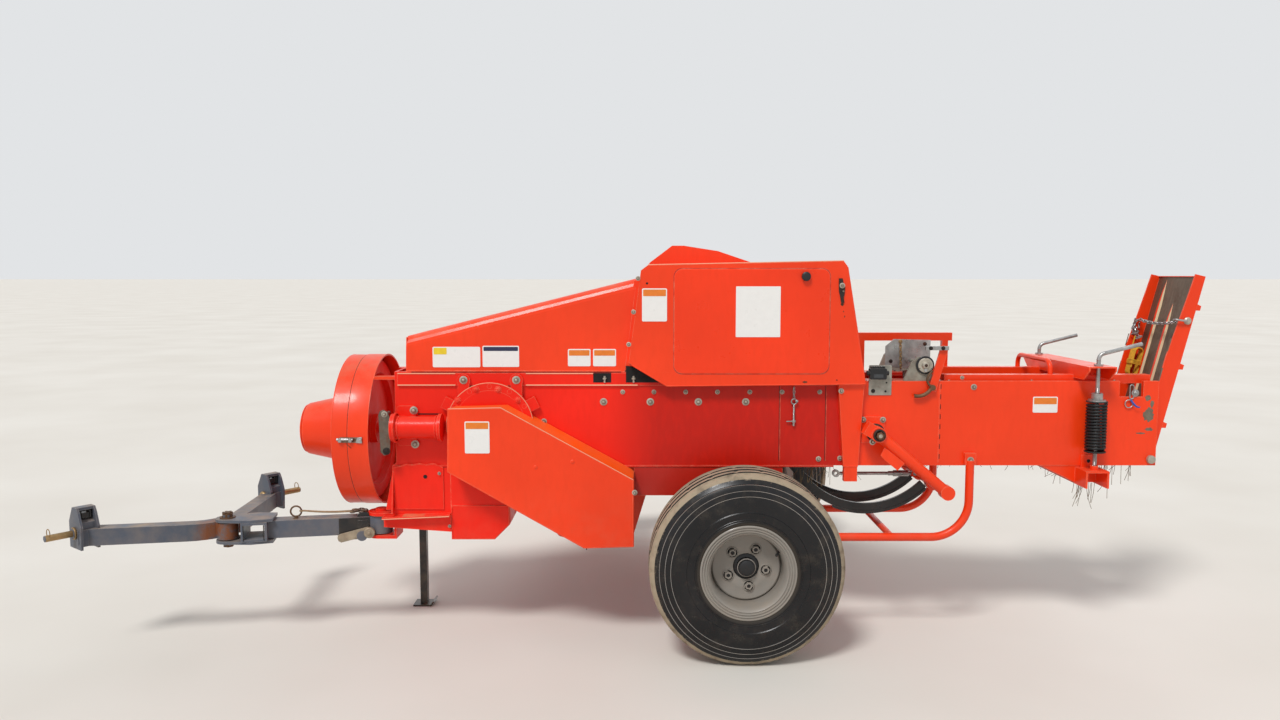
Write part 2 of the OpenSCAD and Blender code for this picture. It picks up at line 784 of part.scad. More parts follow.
needle_tip = 208;
needle_h = 40;
needle_t = 14;
needle_back = 10;
needle_back_from = 40;
module needles() {
    // The ring turns about the yoke's pivot, from the yoke's cross tube to the needle's tip
    start = yoke_angle + 360 - 4.8;
    for (y = [-needle_gap / 2, needle_gap / 2])
        translate([yoke_x, y, yoke_z]) rotate([90, 0, 0]) rotate([0, 0, needle_tip]) {
            color(black) {
                rotate_extrude(angle = start - needle_tip)
                    translate([needle_r - needle_h / 2, -needle_t / 2]) square([needle_h, needle_t]);
                // Pointed tip
                translate([needle_r, 0, -needle_t / 2]) linear_extrude(needle_t)
                    polygon([[1 - needle_h / 2, 3], [1 - needle_h / 2, 0], [-8, -34], [6, -34], [needle_h / 2 - 1, 0], [needle_h / 2 - 1, 3]]);
            }
            // Backing strip along the rear half
            color(orange) rotate([0, 0, needle_back_from])
                rotate_extrude(angle = start - needle_tip - needle_back_from - 1)
                    translate([needle_r + needle_h / 2 - 1, -needle_t / 2 - 4])
                        square([needle_back + 1, needle_t + 8]);
        }
}

needle_guard_x = 1050;
needle_guard_z = 477;
needle_guard_r = 19;
needle_guard_bend = 170;
needle_guard_cross_x = 700;
module needle_guard() {
    y = -side_y - needle_guard_r - seat_gap;
    color(orange) both_sides() {
        rod_z(needle_guard_x, y, [needle_guard_z + needle_guard_bend, chamber_z + 28], needle_guard_r);
        block(
            [needle_guard_x - needle_guard_r - 6, needle_guard_x + needle_guard_r + 6],
            [y - 6, -side_y],
            [chamber_z + 6, chamber_z + 60]
        );
        translate([needle_guard_x - needle_guard_bend, y, needle_guard_z + needle_guard_bend])
            rotate([90, 0, 0]) rotate([0, 0, -90]) rotate_extrude(angle = 90)
                translate([needle_guard_bend, 0]) circle(r = needle_guard_r);
        rod_x([200, needle_guard_x - needle_guard_bend], y, needle_guard_z, needle_guard_r);
    }
    color(orange) rod_y(needle_guard_cross_x, [y + 8, -y - 8], needle_guard_z, needle_guard_r * 0.8);
}

post_x = 440;
module side_post() {
    p = [[468, chamber_z], [535, chamber_z], [557, 1186], [post_x, 1186]];
    color(orange) both_sides() {
        plate_xz(p, [-side_y - 32, -side_y]);
        block([472, 532], [-side_y - 32, -side_y], [739, chamber_z]);
    }
}

module rear_bar() {
    color(orange) {
        block([620, 1110], [side_y - 40, side_y - 10], [1350, 1390]);
        for (x = [640, 1060]) block([x, x + 30], [side_y - 40, side_y - 10], [chamber_z1, 1350]);
    }
}

counter_x = 576;
module bale_counter() {
    color(zinc) block([counter_x + 7, counter_x + 111], [-side_y - 4, -side_y], [1132, 1270]);
    color(black) {
        block([counter_x + 4, counter_x + 80], [-side_y - 40, -side_y - 4], [1208, 1258]);
        rod_x([counter_x - 8, counter_x + 92], -side_y - 24, 1236, 11);
        block([counter_x + 14, counter_x + 70], [-side_y - 34, -side_y - 8], [1258, 1268]);
    }
}

measure_x = 838;
measure_z = 1270;
measure_r = 92;
measure_pin_r = 10;
bearing_r = 40;

// Trip arm that starts the knotters, with its hook and the flat bar on its top
arm_top = [919, 1335];
arm_low = [874, 1165];
arm_w = 35;
module trip_arm() {
    y = -side_y - seat_gap;
    a = atan2(arm_top[1] - arm_low[1], arm_top[0] - arm_low[0]);
    color(orange) translate([arm_low[0], 0, arm_low[1]]) rotate([0, -a, 0])
        block([-12, norm(arm_top - arm_low) + 24], [y - 10, y], [-arm_w / 2, arm_w / 2]);
    color(zinc) {
        block([834, 938], [y - 22, y - 9], [1340, 1357]);
        translate([804, y - 18, 1198]) rotate([90, 0, 0]) rotate([0, 0, -105])
            rotate_extrude(angle = 78) translate([68, 0]) circle(r = 8);
        rod_y(arm_low[0] - 4, [y - 26, y - 9], arm_low[1] + 4, 12);
    }
}

// Shaft of the measuring wheel in two cast bearings, with a sheet in front of the wheel
module measure_shaft() {
    cheek = [
        [measure_x - 94, chamber_z1], [measure_x + 30, chamber_z1], [measure_x + 40, measure_z],
        [measure_x + 20, measure_z + 36], [measure_x - 30, measure_z + 36], [measure_x - 62, measure_z + 8],
    ];
    sheet = [
        [measure_x - 129, 1252], [measure_x - 70, chamber_z1 + 22], [measure_x + 20, 1236],
        [measure_x + 84, 1262], [measure_x + 84, 1370], [measure_x - 90, 1374], [measure_x - 129, 1340],
    ];
    color(zinc) {
        rod_y(measure_x, [-side_y + 2, side_y - 10], measure_z, measure_pin_r);
        both_sides() {
            plate_xz(cheek, [-side_y + 4, -side_y + 20]);
            rod_y(measure_x, [-side_y - 10, -side_y + 4], measure_z, bearing_r - 7);
        }
        plate_xz(sheet, [-46, -43]);
    }
    color(black) both_sides() rod_y(measure_x, [-side_y - 4, -side_y + 4], measure_z, bearing_r);
}

star_teeth = 10;
module measure_wheel() {
    star = [
        for (k = [0 : star_teeth - 1], v = [[-7, measure_r - 28], [0, measure_r], [7, measure_r - 28]])
            let (a = 360 / star_teeth * k + v[0] * 1.6)
                v[1] * [cos(a), sin(a)]
    ];
    color(zinc) translate([measure_x, 0, measure_z]) along_y() difference() {
        union() {
            translate([0, 0, -6]) linear_extrude(12) polygon(star);
            translate([0, 0, -20]) cylinder(r = 24, h = 40);
        }
        translate([0, 0, -21]) cylinder(r = measure_pin_r + fit_gap, h = 42);
    }
}

// Bale density gear

tension_x = chamber_x1 - 313;
spring_y = -side_y - 68;
rail_x0 = 940;
rail_h = 40;
yoke_w = 124;
yoke_h = 62;
yoke_z1 = 1272;
yoke_t = 6;
bow_x = tension_x - 160;
bow_y = 190;
bow_z = 1284;
bow_bend = 45;
bow_r = 11;
module tension_rails() {
    side = [
        [-yoke_w / 2, yoke_z1 - yoke_h], [-yoke_w / 2, yoke_z1],
        [yoke_w / 2, yoke_z1], [yoke_w / 2, yoke_z1 - yoke_h],
    ];
    inner = [
        [-yoke_w / 2 + yoke_t, yoke_z1 - yoke_h - 1], [-yoke_w / 2 + yoke_t, yoke_z1 - yoke_t],
        [yoke_w / 2 - yoke_t, yoke_z1 - yoke_t], [yoke_w / 2 - yoke_t, yoke_z1 - yoke_h - 1],
    ];
    end_y = -spring_y + 45;
    color(orange) {
        // Rails that press on the bales
        for (s = [-1, 1])
            block(
                [rail_x0, chamber_x1 - 20],
                s < 0 ? [-inner_y + 20, -inner_y + 70] : [inner_y - 70, inner_y - 20],
                [chamber_z1 - floor_t, chamber_z1 + rail_h - floor_t]
            );
        // Channel across the chamber, open below, with its ends cut at a slant
        translate([tension_x, 0, 0]) difference() {
            plate_xz([for (i = [3 : -1 : 0]) side[i]], [-end_y, end_y]);
            plate_xz([for (i = [3 : -1 : 0]) inner[i]], [-end_y - 1, end_y + 1]);
            both_sides() plate_yz(
                [
                    [-end_y - 1, yoke_z1 - yoke_h - 1], [-end_y + 55, yoke_z1 - yoke_h - 1],
                    [-end_y - 1, yoke_z1 - 18],
                ],
                [-yoke_w, yoke_w]
            );
            rod_z(0, spring_y, [yoke_z1 - 20, yoke_z1 + 1], tension_rod_r + seat_gap);
            rod_z(0, -spring_y, [yoke_z1 - 20, yoke_z1 + 1], tension_rod_r + seat_gap);
        }
        // Feet of the channel on the rails
        for (s = [-1, 1])
            block(
                [tension_x - yoke_w / 2, tension_x + yoke_w / 2],
                s < 0 ? [-inner_y + 30, -inner_y + 60] : [inner_y - 60, inner_y - 30],
                [chamber_z1 + rail_h - floor_t, yoke_z1 - yoke_t]
            );
        // Tube bow over the chamber
        both_sides() {
            rod_z(bow_x, -bow_y, [chamber_z1 + rail_h - floor_t, bow_z - bow_bend], bow_r);
            translate([bow_x, -bow_y + bow_bend, bow_z - bow_bend]) rotate([90, 0, 90]) rotate([0, 0, 90])
                rotate_extrude(angle = 90) translate([bow_bend, 0]) circle(r = bow_r);
        }
        rod_y(bow_x, [-bow_y + bow_bend, bow_y - bow_bend], bow_z, bow_r);
    }
}

spring_z = [888, 1108];
spring_r = 40;
spring_wire_r = 5.5;
spring_coils = 14;
spring_steps = 12;
spring_sides = 5;
tension_rod_r = 9;
module tension_springs() {
    color(black) both_sides() translate([tension_x, spring_y, 0]) coil();
    color(black) both_sides() difference() {
        for (z = [spring_z[0] - 6, spring_z[1]])
            rod_z(tension_x, spring_y, [z, z + 6], spring_r + spring_wire_r);
        rod_z(tension_x, spring_y, [spring_z[0] - 7, spring_z[1] + 7], tension_rod_r + seat_gap);
    }
}

// A round wire wound about Z, between the two plates
module coil() {
    n = spring_coils * spring_steps;
    z0 = spring_z[0] + spring_wire_r + seat_gap;
    rise = spring_z[1] - spring_z[0] - 2 * (spring_wire_r + seat_gap);
    points = [
        for (i = [0 : n], j = [0 : spring_sides - 1])
            let (
                a = 360 * i / spring_steps,
                b = 360 * j / spring_sides,
                r = spring_r + spring_wire_r * cos(b)
            )
            [r * cos(a), r * sin(a), z0 + rise * i / n + spring_wire_r * sin(b)]
    ];
    faces = concat(
        [[for (j = [spring_sides - 1 : -1 : 0]) j]],
        [
            for (i = [0 : n - 1], j = [0 : spring_sides - 1])
                let (k = (j + 1) % spring_sides)
                [i * spring_sides + j, i * spring_sides + k, (i + 1) * spring_sides + k, (i + 1) * spring_sides + j]
        ],
        [[for (j = [0 : spring_sides - 1]) n * spring_sides + j]]
    );
    polyhedron(points = points, faces = faces, convexity = 20);
}

crank_bend = 30;
crank_lean = 14;
crank_l = 170;
crank_z = 1300;
crank_seam = 3;
module tension_cranks() {
    color(silver) both_sides() {
        rod_z(tension_x, spring_y, [saddle_z[1] + 20, crank_z - crank_seam], tension_rod_r);
        translate([tension_x, spring_y, crank_z]) sphere(r = tension_rod_r + 0.7);
        // Nut and washer on the spring, and the collar on the channel
        rod_z(tension_x, spring_y, [spring_z[1] + 6, spring_z[1] + 13], 38);
        rod_z(tension_x, spring_y, [spring_z[1] + 13, spring_z[1] + 38], 24);
        rod_z(tension_x, spring_y, [yoke_z1, yoke_z1 + 9], 19);
        // Handle with its bend
        translate([tension_x + crank_bend, spring_y, crank_z]) rotate([90, 0, 0])
            rotate([0, 0, 90 + crank_lean]) rotate_extrude(angle = 90 - crank_lean)
                translate([crank_bend, 0]) circle(r = tension_rod_r);
        translate([
            tension_x + crank_bend - crank_bend * sin(crank_lean), spring_y, crank_z + crank_bend * cos(crank_lean)
        ]) rotate([0, 90 - crank_lean, 0]) {
            sphere(r = tension_rod_r + 0.7);
            translate([0, 0, crank_seam]) cylinder(r = tension_rod_r, h = crank_l);
        }
    }
}

// Lower channel under the chamber, which the two rods pull up, with its wedge plates
saddle_z = [722, 800];
saddle_w = 104;
module tension_saddles() {
    color(orange) {
        difference() {
            block([tension_x - saddle_w / 2, tension_x + saddle_w / 2], [spring_y - 38, -spring_y + 38], saddle_z);
            block(
                [tension_x - saddle_w / 2 + 8, tension_x + saddle_w / 2 - 8],
                [spring_y - 39, -spring_y + 39],
                [saddle_z[0] - 1, saddle_z[1] - 8]
            );
            both_sides() rod_z(tension_x, spring_y, [saddle_z[1] - 9, saddle_z[1] + 1], tension_rod_r + seat_gap);
        }
        both_sides() {
            plate_xz(
                [
                    [tension_x - 215, chamber_z], [tension_x - saddle_w / 2, saddle_z[0] + 6],
                    [tension_x + saddle_w / 2, saddle_z[0] + 6], [tension_x + saddle_w / 2, chamber_z],
                ],
                [-side_y + 4, -side_y + 14]
            );
            // Guide strap beside the rod, up the chamber's side
            block([tension_x - 32, tension_x + 32], [-side_y - 12, -side_y], [saddle_z[1] - 4, 858]);
        }
    }
    color(silver) both_sides() rod_z(tension_x, spring_y, [saddle_z[1], saddle_z[1] + 20], 17);
}

// Bale chute

chute_half_w = 190;
chute_flange = 70;
chute_flange_top = 45;
rib_w = 34;
rib_h = 9;
chute_ribs = [[-110, 735], [0, 735], [110, 850]];
module chute() {
    f = chute_floor_x;
    ear = [
        [-22, -20], [20, -20], [f, 20], [f, chute_l], [f - chute_flange_top, chute_l],
        [f - chute_flange, chute_l * 0.55], [f - chute_flange, 20],
    ];
    color(orange) translate([chute_x, 0, chute_z]) rotate([0, chute_lean, 0]) difference() {
        union() {
            block([f, f + chute_t], [-chute_half_w, chute_half_w], [20, chute_l]);
            both_sides() plate_xz(ear, [-chute_half_w, -chute_half_w + chute_t]);
            for (v = chute_ribs)
                plate_yz(
                    [
                        [v[0] - rib_w / 2, 60], [v[0] + rib_w / 2, 60], [v[0] + rib_w / 2, v[1] - 90], [v[0], v[1]],
                        [v[0] - rib_w / 2, v[1] - 90],
                    ],
                    [f - rib_h, f]
                );
            // Stiffeners behind the floor, and the bosses of the chain's bolts
            for (z = [150, 430, 710])
                block([f + chute_t, f + chute_t + chute_back], [-chute_half_w, chute_half_w], [z, z + 30]);
            both_sides() rod_y(f - 32, [-chute_half_w - 14, -chute_half_w], chute_bolt_z, 12);
        }
        rod_y(0, [-chute_half_w - 1, chute_half_w + 1], 0, chute_pin_r + fit_gap);
    }
}

// Wheels

beam_x = 145;
beam_half = 40;
beam_y = [-300, 1180];
module axle() {
    z = [tyre_r - beam_half, tyre_r + beam_half];
    color(red) {
        block([beam_x - beam_half, beam_x + beam_half], beam_y, z);
        block([-40, beam_x - beam_half], [beam_y[0], beam_y[0] + 60], z);
        block([beam_x + beam_half, right_wheel_x + 40], [beam_y[1] - 60, beam_y[1]], z);
        for (y = [-200, 190]) block([beam_x - 60, beam_x + 50], [y, y + 10], [z[1], sub_z0]);
    }
    color(silver) {
        rod_y(0, [left_wheel_y, beam_y[0]], tyre_r, spindle_r);
        rod_y(right_wheel_x, [beam_y[1], right_wheel_y], tyre_r, spindle_r);
    }
}

rim_t = 7;
disc_t = 8;
disc_hole_r = 54;
hub_r = 66;
cap_r = 30;
nut_r = 14;
rim_half_w = tyre_w / 2 - 12;
well_r = rim_r - 50;
// The wheel is made along Z, with its outer side at the top
module rim() {
    barrel = [
        [rim_r, -rim_half_w], [rim_r - 16, -rim_half_w + 12], [rim_r - 20, -70], [well_r, -50], [well_r, 20],
        [rim_r - 24, 42], [rim_r - 16, rim_half_w - 12], [rim_r, rim_half_w],
    ];
    face = rim_half_w - disc_recess;
    color(silver) difference() {
        union() {
            rotate_extrude() polygon(sheet_line(barrel, rim_t));
            // Dished disc with a raised seat round each nut
            rotate_extrude() polygon(sheet_line(
                [
                    [disc_hole_r, face], [nut_circle_d / 2 + 26, face], [nut_circle_d / 2 + 40, face - 14],
                    [well_r - rim_t + 1, face - 26],
                ],
                -disc_t
            ));
            for (k = [0 : nut_count - 1])
                rotate([0, 0, 360 / nut_count * k]) translate([nut_circle_d / 2, 0, face - 1])
                    cylinder(r1 = nut_r + 10, r2 = nut_r + 4, h = 6);
        }
        for (k = [0 : nut_count - 1])
            rotate([0, 0, 360 / nut_count * k]) translate([nut_circle_d / 2, 0, face - disc_t - 1])
                cylinder(r = 9.5, h = disc_t + 8);
    }
}

tread_grooves = [-27, 27];
groove_w = 9;
groove_depth = 12;
module tyre() {
    half = tyre_w / 2;
    side = [
        [rim_r - 4, rim_half_w - 12], [rim_r + 14, rim_half_w + 5], [rim_r + 50, half], [rim_r + 110, half - 2],
        [tyre_r - 40, half - 22], [tyre_r - 12, half - 42], [tyre_r, half - 64],
    ];
    tread = [
        for (z = tread_grooves)
            each [
                [tyre_r, z - groove_w], [tyre_r - groove_depth, z - groove_w / 2],
                [tyre_r - groove_depth, z + groove_w / 2], [tyre_r, z + groove_w],
            ]
    ];
    color(black) rotate_extrude() polygon(concat(
        [for (v = side) [v[0], -v[1]]],
        tread,
        [for (i = [len(side) - 1 : -1 : 0]) side[i]]
    ));
}

module hub() {
    face = rim_half_w - disc_recess;
    color(grey) {
        difference() {
            translate([0, 0, face - disc_t - 110]) cylinder(r = hub_r, h = 110);
            translate([0, 0, face - disc_t - 111]) cylinder(r = spindle_r + fit_gap, h = 90);
        }
        translate([0, 0, face - disc_t]) cylinder(r = disc_hole_r - 2, h = 6);
        translate([0, 0, face - disc_t + 6]) cylinder(r = cap_r, h = disc_t + 24);
        translate([0, 0, face + 30]) cylinder(r1 = cap_r, r2 = cap_r - 9, h = 8);
        for (k = [0 : nut_count - 1])
            rotate([0, 0, 360 / nut_count * k]) translate([nut_circle_d / 2, 0, face + 5])
                cylinder(r = nut_r, h = 14, $fn = 6);
    }
}

module at_left_wheel() { translate([0, left_wheel_y, tyre_r]) rotate([90, 0, 0]) children(); }
module at_right_wheel() { translate([right_wheel_x, right_wheel_y, tyre_r]) rotate([-90, 0, 0]) children(); }

module hub_left() { at_left_wheel() hub(); }
module rim_left() { at_left_wheel() rim(); }
module tyre_left() { at_left_wheel() tyre(); }
module hub_right() { at_right_wheel() hub(); }
module rim_right() { at_right_wheel() rim(); }
module tyre_right() { at_right_wheel() tyre(); }

// Feeder and pickup

feed_y1 = 1230;
feed_x1 = 60;
feed_x0 = -440;
feed_z1 = 1060;
feed_t = 6;
module feed_table() {
    color(orange) {
        block([feed_x0, feed_x1], [side_y, feed_y1], [chamber_z, chamber_z + feed_t]);
        block([feed_x1 - feed_t, feed_x1], [side_y, feed_y1], [chamber_z + feed_t, feed_z1]);
        block([feed_x0, feed_x1 - feed_t], [feed_y1 - feed_t, feed_y1], [chamber_z + feed_t, feed_z1]);
        block([feed_x0 + 140, feed_x1], [side_y, feed_y1], [feed_z1, feed_z1 + feed_t]);
    }
}

auger_x = -200;
auger_z = 945;
auger_r = 110;
auger_tube_r = 45;
auger_pitch = 200;
auger_steps = 18;
flight_t = 5;
auger_y = [side_y + 60, feed_y1 - feed_t - 20];
module feed_auger() {
    color(orange) {
        rod_y(auger_x, auger_y, auger_z, auger_tube_r);
        translate([auger_x, auger_y[0] + 10, auger_z]) along_y() flight(auger_y[1] - auger_y[0] - 25);
    }
    color(silver) rod_y(auger_x, [auger_y[1], feed_y1 - feed_t - seat_gap], auger_z, 20);
}

// Spiral sheet of length l about Z, whose inner edge just clears the auger's tube
module flight(l) {
    r0 = auger_tube_r / cos(180 / auger_steps) + 0.4;
    n = ceil(l / auger_pitch * auger_steps);
    points = [
        for (i = [0 : n], v = [[r0, 0], [auger_r, 0], [auger_r, flight_t], [r0, flight_t]])
            let (a = 360 * i / auger_steps)
            [v[0] * cos(a), v[0] * sin(a), l * i / n + v[1]]
    ];
    faces = concat(
        [[3, 2, 1, 0]],
        [
            for (i = [0 : n - 1], j = [0 : 3], t = [0, 1])
                let (k = (j + 1) % 4, b = 4 * i, c = 4 * i + 4)
                t == 0 ? [b + j, c + k, c + j] : [b + j, b + k, c + k]
        ],
        [[4 * n, 4 * n + 1, 4 * n + 2, 4 * n + 3]]
    );
    polyhedron(points = points, faces = faces, convexity = 12);
}

pickup_y1 = pickup_y0 + tine_pairs * tine_pitch;
pickup_side_t = 6;
band_r = 190;
band_w = 40;
lift_x = -450;
lift_z = 660;
reel_shaft_r = 20;
// The stripper bands go round the reel's front and run straight to the rear above and below it
band_in = 107;
band_top = [reel_x + band_r * cos(band_in), reel_z + band_r * sin(band_in)];
band_slope = 1 / tan(180 - band_in);
band_top_x1 = -452;
band_low_x1 = -508;
function band_z(x) = band_top[1] + (x - band_top[0]) * band_slope;

gauge_x = reel_x + 60;
gauge_z = 330;
gauge_r = 160;
gauge_y = [pickup_y1 + 60, pickup_y1 + 120];
gauge_pin_r = 12;
lift_r = 30;
pickup_side = [
    [-960, 440], [-880, 330], [-760, 296], [-505, 296], [-412, 600], [-412, 720], [-455, 800],
    [-520, 790], [-800, 715], [-930, 640],
];
guard_tube_r = 14;
guard_rods = 9;
guard_rod_r = 5;
wind_r = 292;
guard_angle = 152;
guard_rod_to = 80;
guard_tube = [reel_x + wind_r * cos(guard_angle), reel_z + wind_r * sin(guard_angle)];
module pickup_frame() {
    y0 = pickup_y0 - band_w / 2;
    y1 = pickup_y1 + band_w / 2;
    color(orange) difference() {
        union() {
            for (y = [y0 - pickup_side_t, y1]) plate_xz(rounded(pickup_side, 22), [y, y + pickup_side_t]);
            rod_y(lift_x, [side_y + 2, y1], lift_z, lift_r);
            rod_y(gauge_x, [y1, y1 + pickup_side_t], gauge_z, 36);
            rod_y(gauge_x, [y1 + pickup_side_t, gauge_y[1] + 8], gauge_z, gauge_pin_r);
            // Cross bars that carry the stripper bands
            plate_xz(
                [for (v = [[-480, -26], [-456, -26], [-456, 0], [-480, 0]]) [v[0], band_z(v[0]) + v[1]]],
                [y0, y1]
            );
            block([band_low_x1 - 22, band_low_x1], [y0, y1], [reel_z - band_r, reel_z - band_r + 26]);
            // Wind guard: a cross tube on two arms, and rods that bend over the reel
            for (y = [y0 - pickup_side_t, y1])
                plate_xz(
                    [
                        [-945, 560], [-915, 640], [guard_tube[0] + 8, guard_tube[1] + 18],
                        [guard_tube[0] - 12, guard_tube[1] - 8],
                    ],
                    [y, y + pickup_side_t]
                );
            rod_y(guard_tube[0], [y0 - pickup_side_t - 14, y1 + pickup_side_t + 14], guard_tube[1], guard_tube_r);
            for (k = [0 : guard_rods - 1])
                translate([reel_x, y0 + 60 + k * (y1 - y0 - 120) / (guard_rods - 1), reel_z])
                    rotate([90, 0, 0]) rotate([0, 0, guard_rod_to])
                        rotate_extrude(angle = guard_angle - guard_rod_to + 1)
                            translate([wind_r, 0]) circle(r = guard_rod_r, $fn = 8);
            // Chain case of the reel's drive, on the right side plate
            plate_xz(
                rounded([[-820, 440], [-640, 440], [-430, 600], [-430, 700], [-560, 700], [-820, 570]], 30),
                [y1 + pickup_side_t, y1 + pickup_side_t + 24]
            );
        }
        rod_y(reel_x, [y0 - 20, y1 + 20], reel_z, reel_shaft_r + fit_gap);
    }
}

// Bearings that hang from the feed table and hold the pickup's cross tube
module pickup_bearings() {
    color(red) for (y = [side_y + 5, 1180]) difference() {
        union() {
            block([lift_x - 45, lift_x + 75], [y, y + 15], [lift_z - 45, lift_z + 42]);
            block([lift_x + 15, lift_x + 75], [y, y + 15], [lift_z + 42, chamber_z]);
        }
        rod_y(lift_x, [y - 1, y + 16], lift_z, lift_r + fit_gap);
    }
}

// Line of one stripper band's inner side, from its upper rear end round the reel's front
band_step = 8;
band_line = concat(
    [[band_top_x1, band_z(band_top_x1)]],
    [
        for (k = [0 : ceil((270 - band_in) / band_step)])
            let (a = band_in + (270 - band_in) * k / ceil((270 - band_in) / band_step))
                [reel_x, reel_z] + band_r * [cos(a), sin(a)]
    ],
    [[band_low_x1, reel_z - band_r]]
);
module strippers() {
    color(orange) for (k = [0 : tine_pairs]) {
        y = pickup_y0 + k * tine_pitch;
        plate_xz(sheet_line(band_line, -sheet_t), [y - band_w / 2, y + band_w / 2]);
    }
}

tine_half = 18;
module pickup_reel() {
    color(black) {
        rod_y(reel_x, [pickup_y0 - 40, pickup_y1 + 36], reel_z, reel_shaft_r);
        for (k = [0 : tine_bar_count - 1])
            rotate_about(reel_x, reel_z, 360 / tine_bar_count * k)
                rod_y(tine_bar_r, [pickup_y0, pickup_y1], 0, 12);
        for (y = [pickup_y0 + 6, pickup_y1 - 14]) rod_y(reel_x, [y, y + 8], reel_z, tine_bar_r);
        // Tines in pairs, wound round the bar between them
        for (k = [0 : tine_bar_count - 1], j = [0 : tine_pairs - 1])
            rotate_about(reel_x, reel_z, 360 / tine_bar_count * k) {
                y = pickup_y0 + (j + 0.5) * tine_pitch;
                rod_y(tine_bar_r, [y - tine_half, y + tine_half], 0, 18);
                for (s = [-1, 1])
                    rod_x([tine_bar_r, tine_tip_r], y + s * (tine_half - 3), 0, 3);
            }
    }
}

// Puts a piece made along X at an angle about an axis across the machine
module rotate_about(x, z, a) { translate([x, 0, z]) rotate([0, -a, 0]) children(); }

gauge_rim_r = 105;
module gauge_wheel() {
    mid = (gauge_y[0] + gauge_y[1]) / 2;
    h = (gauge_y[1] - gauge_y[0]) / 2;
    p = [
        [gauge_rim_r, -h + 6], [gauge_rim_r + 12, -h], [gauge_r - 20, -h], [gauge_r - 4, -h + 12], [gauge_r, -8],
        [gauge_r, 8], [gauge_r - 4, h - 12], [gauge_r - 20, h], [gauge_rim_r + 12, h], [gauge_rim_r, h - 6],
    ];
    disc = [
        [gauge_pin_r + fit_gap, -26], [24, -26], [24, -4], [gauge_rim_r - 18, -4], [gauge_rim_r - 6, -h + 9],
        [gauge_rim_r + 2, -h + 9], [gauge_rim_r + 2, h - 9], [gauge_rim_r - 6, h - 9], [gauge_rim_r - 18, 4],
        [24, 4],
        [24, 26], [gauge_pin_r + fit_gap, 26],
    ];
    translate([gauge_x, mid, gauge_z]) along_y() {
        color(black) rotate_extrude() polygon(p);
        color(orange) rotate_extrude() polygon(disc);
    }
}

// Hitch

tongue_half = 38;
bolt_r = 16;
hitch_h = 76;
jaw_t = 13;
jaw_gap = 5;
jaw_half = 76;
module tongue() {
    z = [tongue_z - tongue_h / 2, tongue_z + tongue_h / 2];
    hz = [tongue_z - hitch_h / 2, tongue_z + hitch_h / 2];
    // Jaw plate in plan: a round nose about the bolt, widening to the cross tube
    jaw = concat(
        [for (a = [100 : 20 : 260]) [-tongue_l, 0] + 52 * [cos(a), sin(a)]],
        [[-tongue_l + 110, -jaw_half], [-tongue_l + 205, -60], [-tongue_l + 205, 60], [-tongue_l + 110, jaw_half]]
    );
    color(grey) translate([tongue_x, tongue_y, 0]) rotate([0, 0, tongue_turn]) difference() {
        union() {
            rod_z(0, 0, z, 50);
            block([-tongue_l + 180, 0], [-tongue_half, tongue_half], z);
            for (v = [[hz[1] + jaw_gap, hz[1] + jaw_gap + jaw_t], [hz[0] - jaw_gap - jaw_t, hz[0] - jaw_gap]])
                plate_xy(jaw, v);
            // Cross tube between the jaw plates, open at both ends
            difference() {
                block([-tongue_l + 70, -tongue_l + 182], [-jaw_half, jaw_half], [hz[0] - jaw_gap, hz[1] + jaw_gap]);
                block(
                    [-tongue_l + 80, -tongue_l + 172],
                    [-jaw_half - 1, jaw_half + 1],
                    [hz[0] - jaw_gap + 10, hz[1] + jaw_gap - 10]
                );
            }
        }
        rod_z(0, 0, [z[0] - 1, z[1] + 1], tongue_pin_r + fit_gap);
    }
    color(silver) translate([bolt_x, bolt_y, 0]) {
        rod_z(0, 0, [hz[0] - jaw_gap, hz[1] + jaw_gap], bolt_r);
        translate([0, 0, hz[1] + jaw_gap + jaw_t]) cylinder(r = 24, h = 16, $fn = 6);
        translate([0, 0, hz[0] - jaw_gap - jaw_t - 14]) cylinder(r = 24, h = 14, $fn = 6);
    }
    // Latch lever under the tongue's rear end
    color(zinc) translate([tongue_x, tongue_y, 0]) rotate([0, 0, tongue_turn]) {
        block([-140, -86], [-tongue_half - 12, -tongue_half], [z[0] - 20, z[0] + 14]);
        rod_y(-86, [-tongue_half - 18, -tongue_half], z[0] - 4, 24);
    }
}

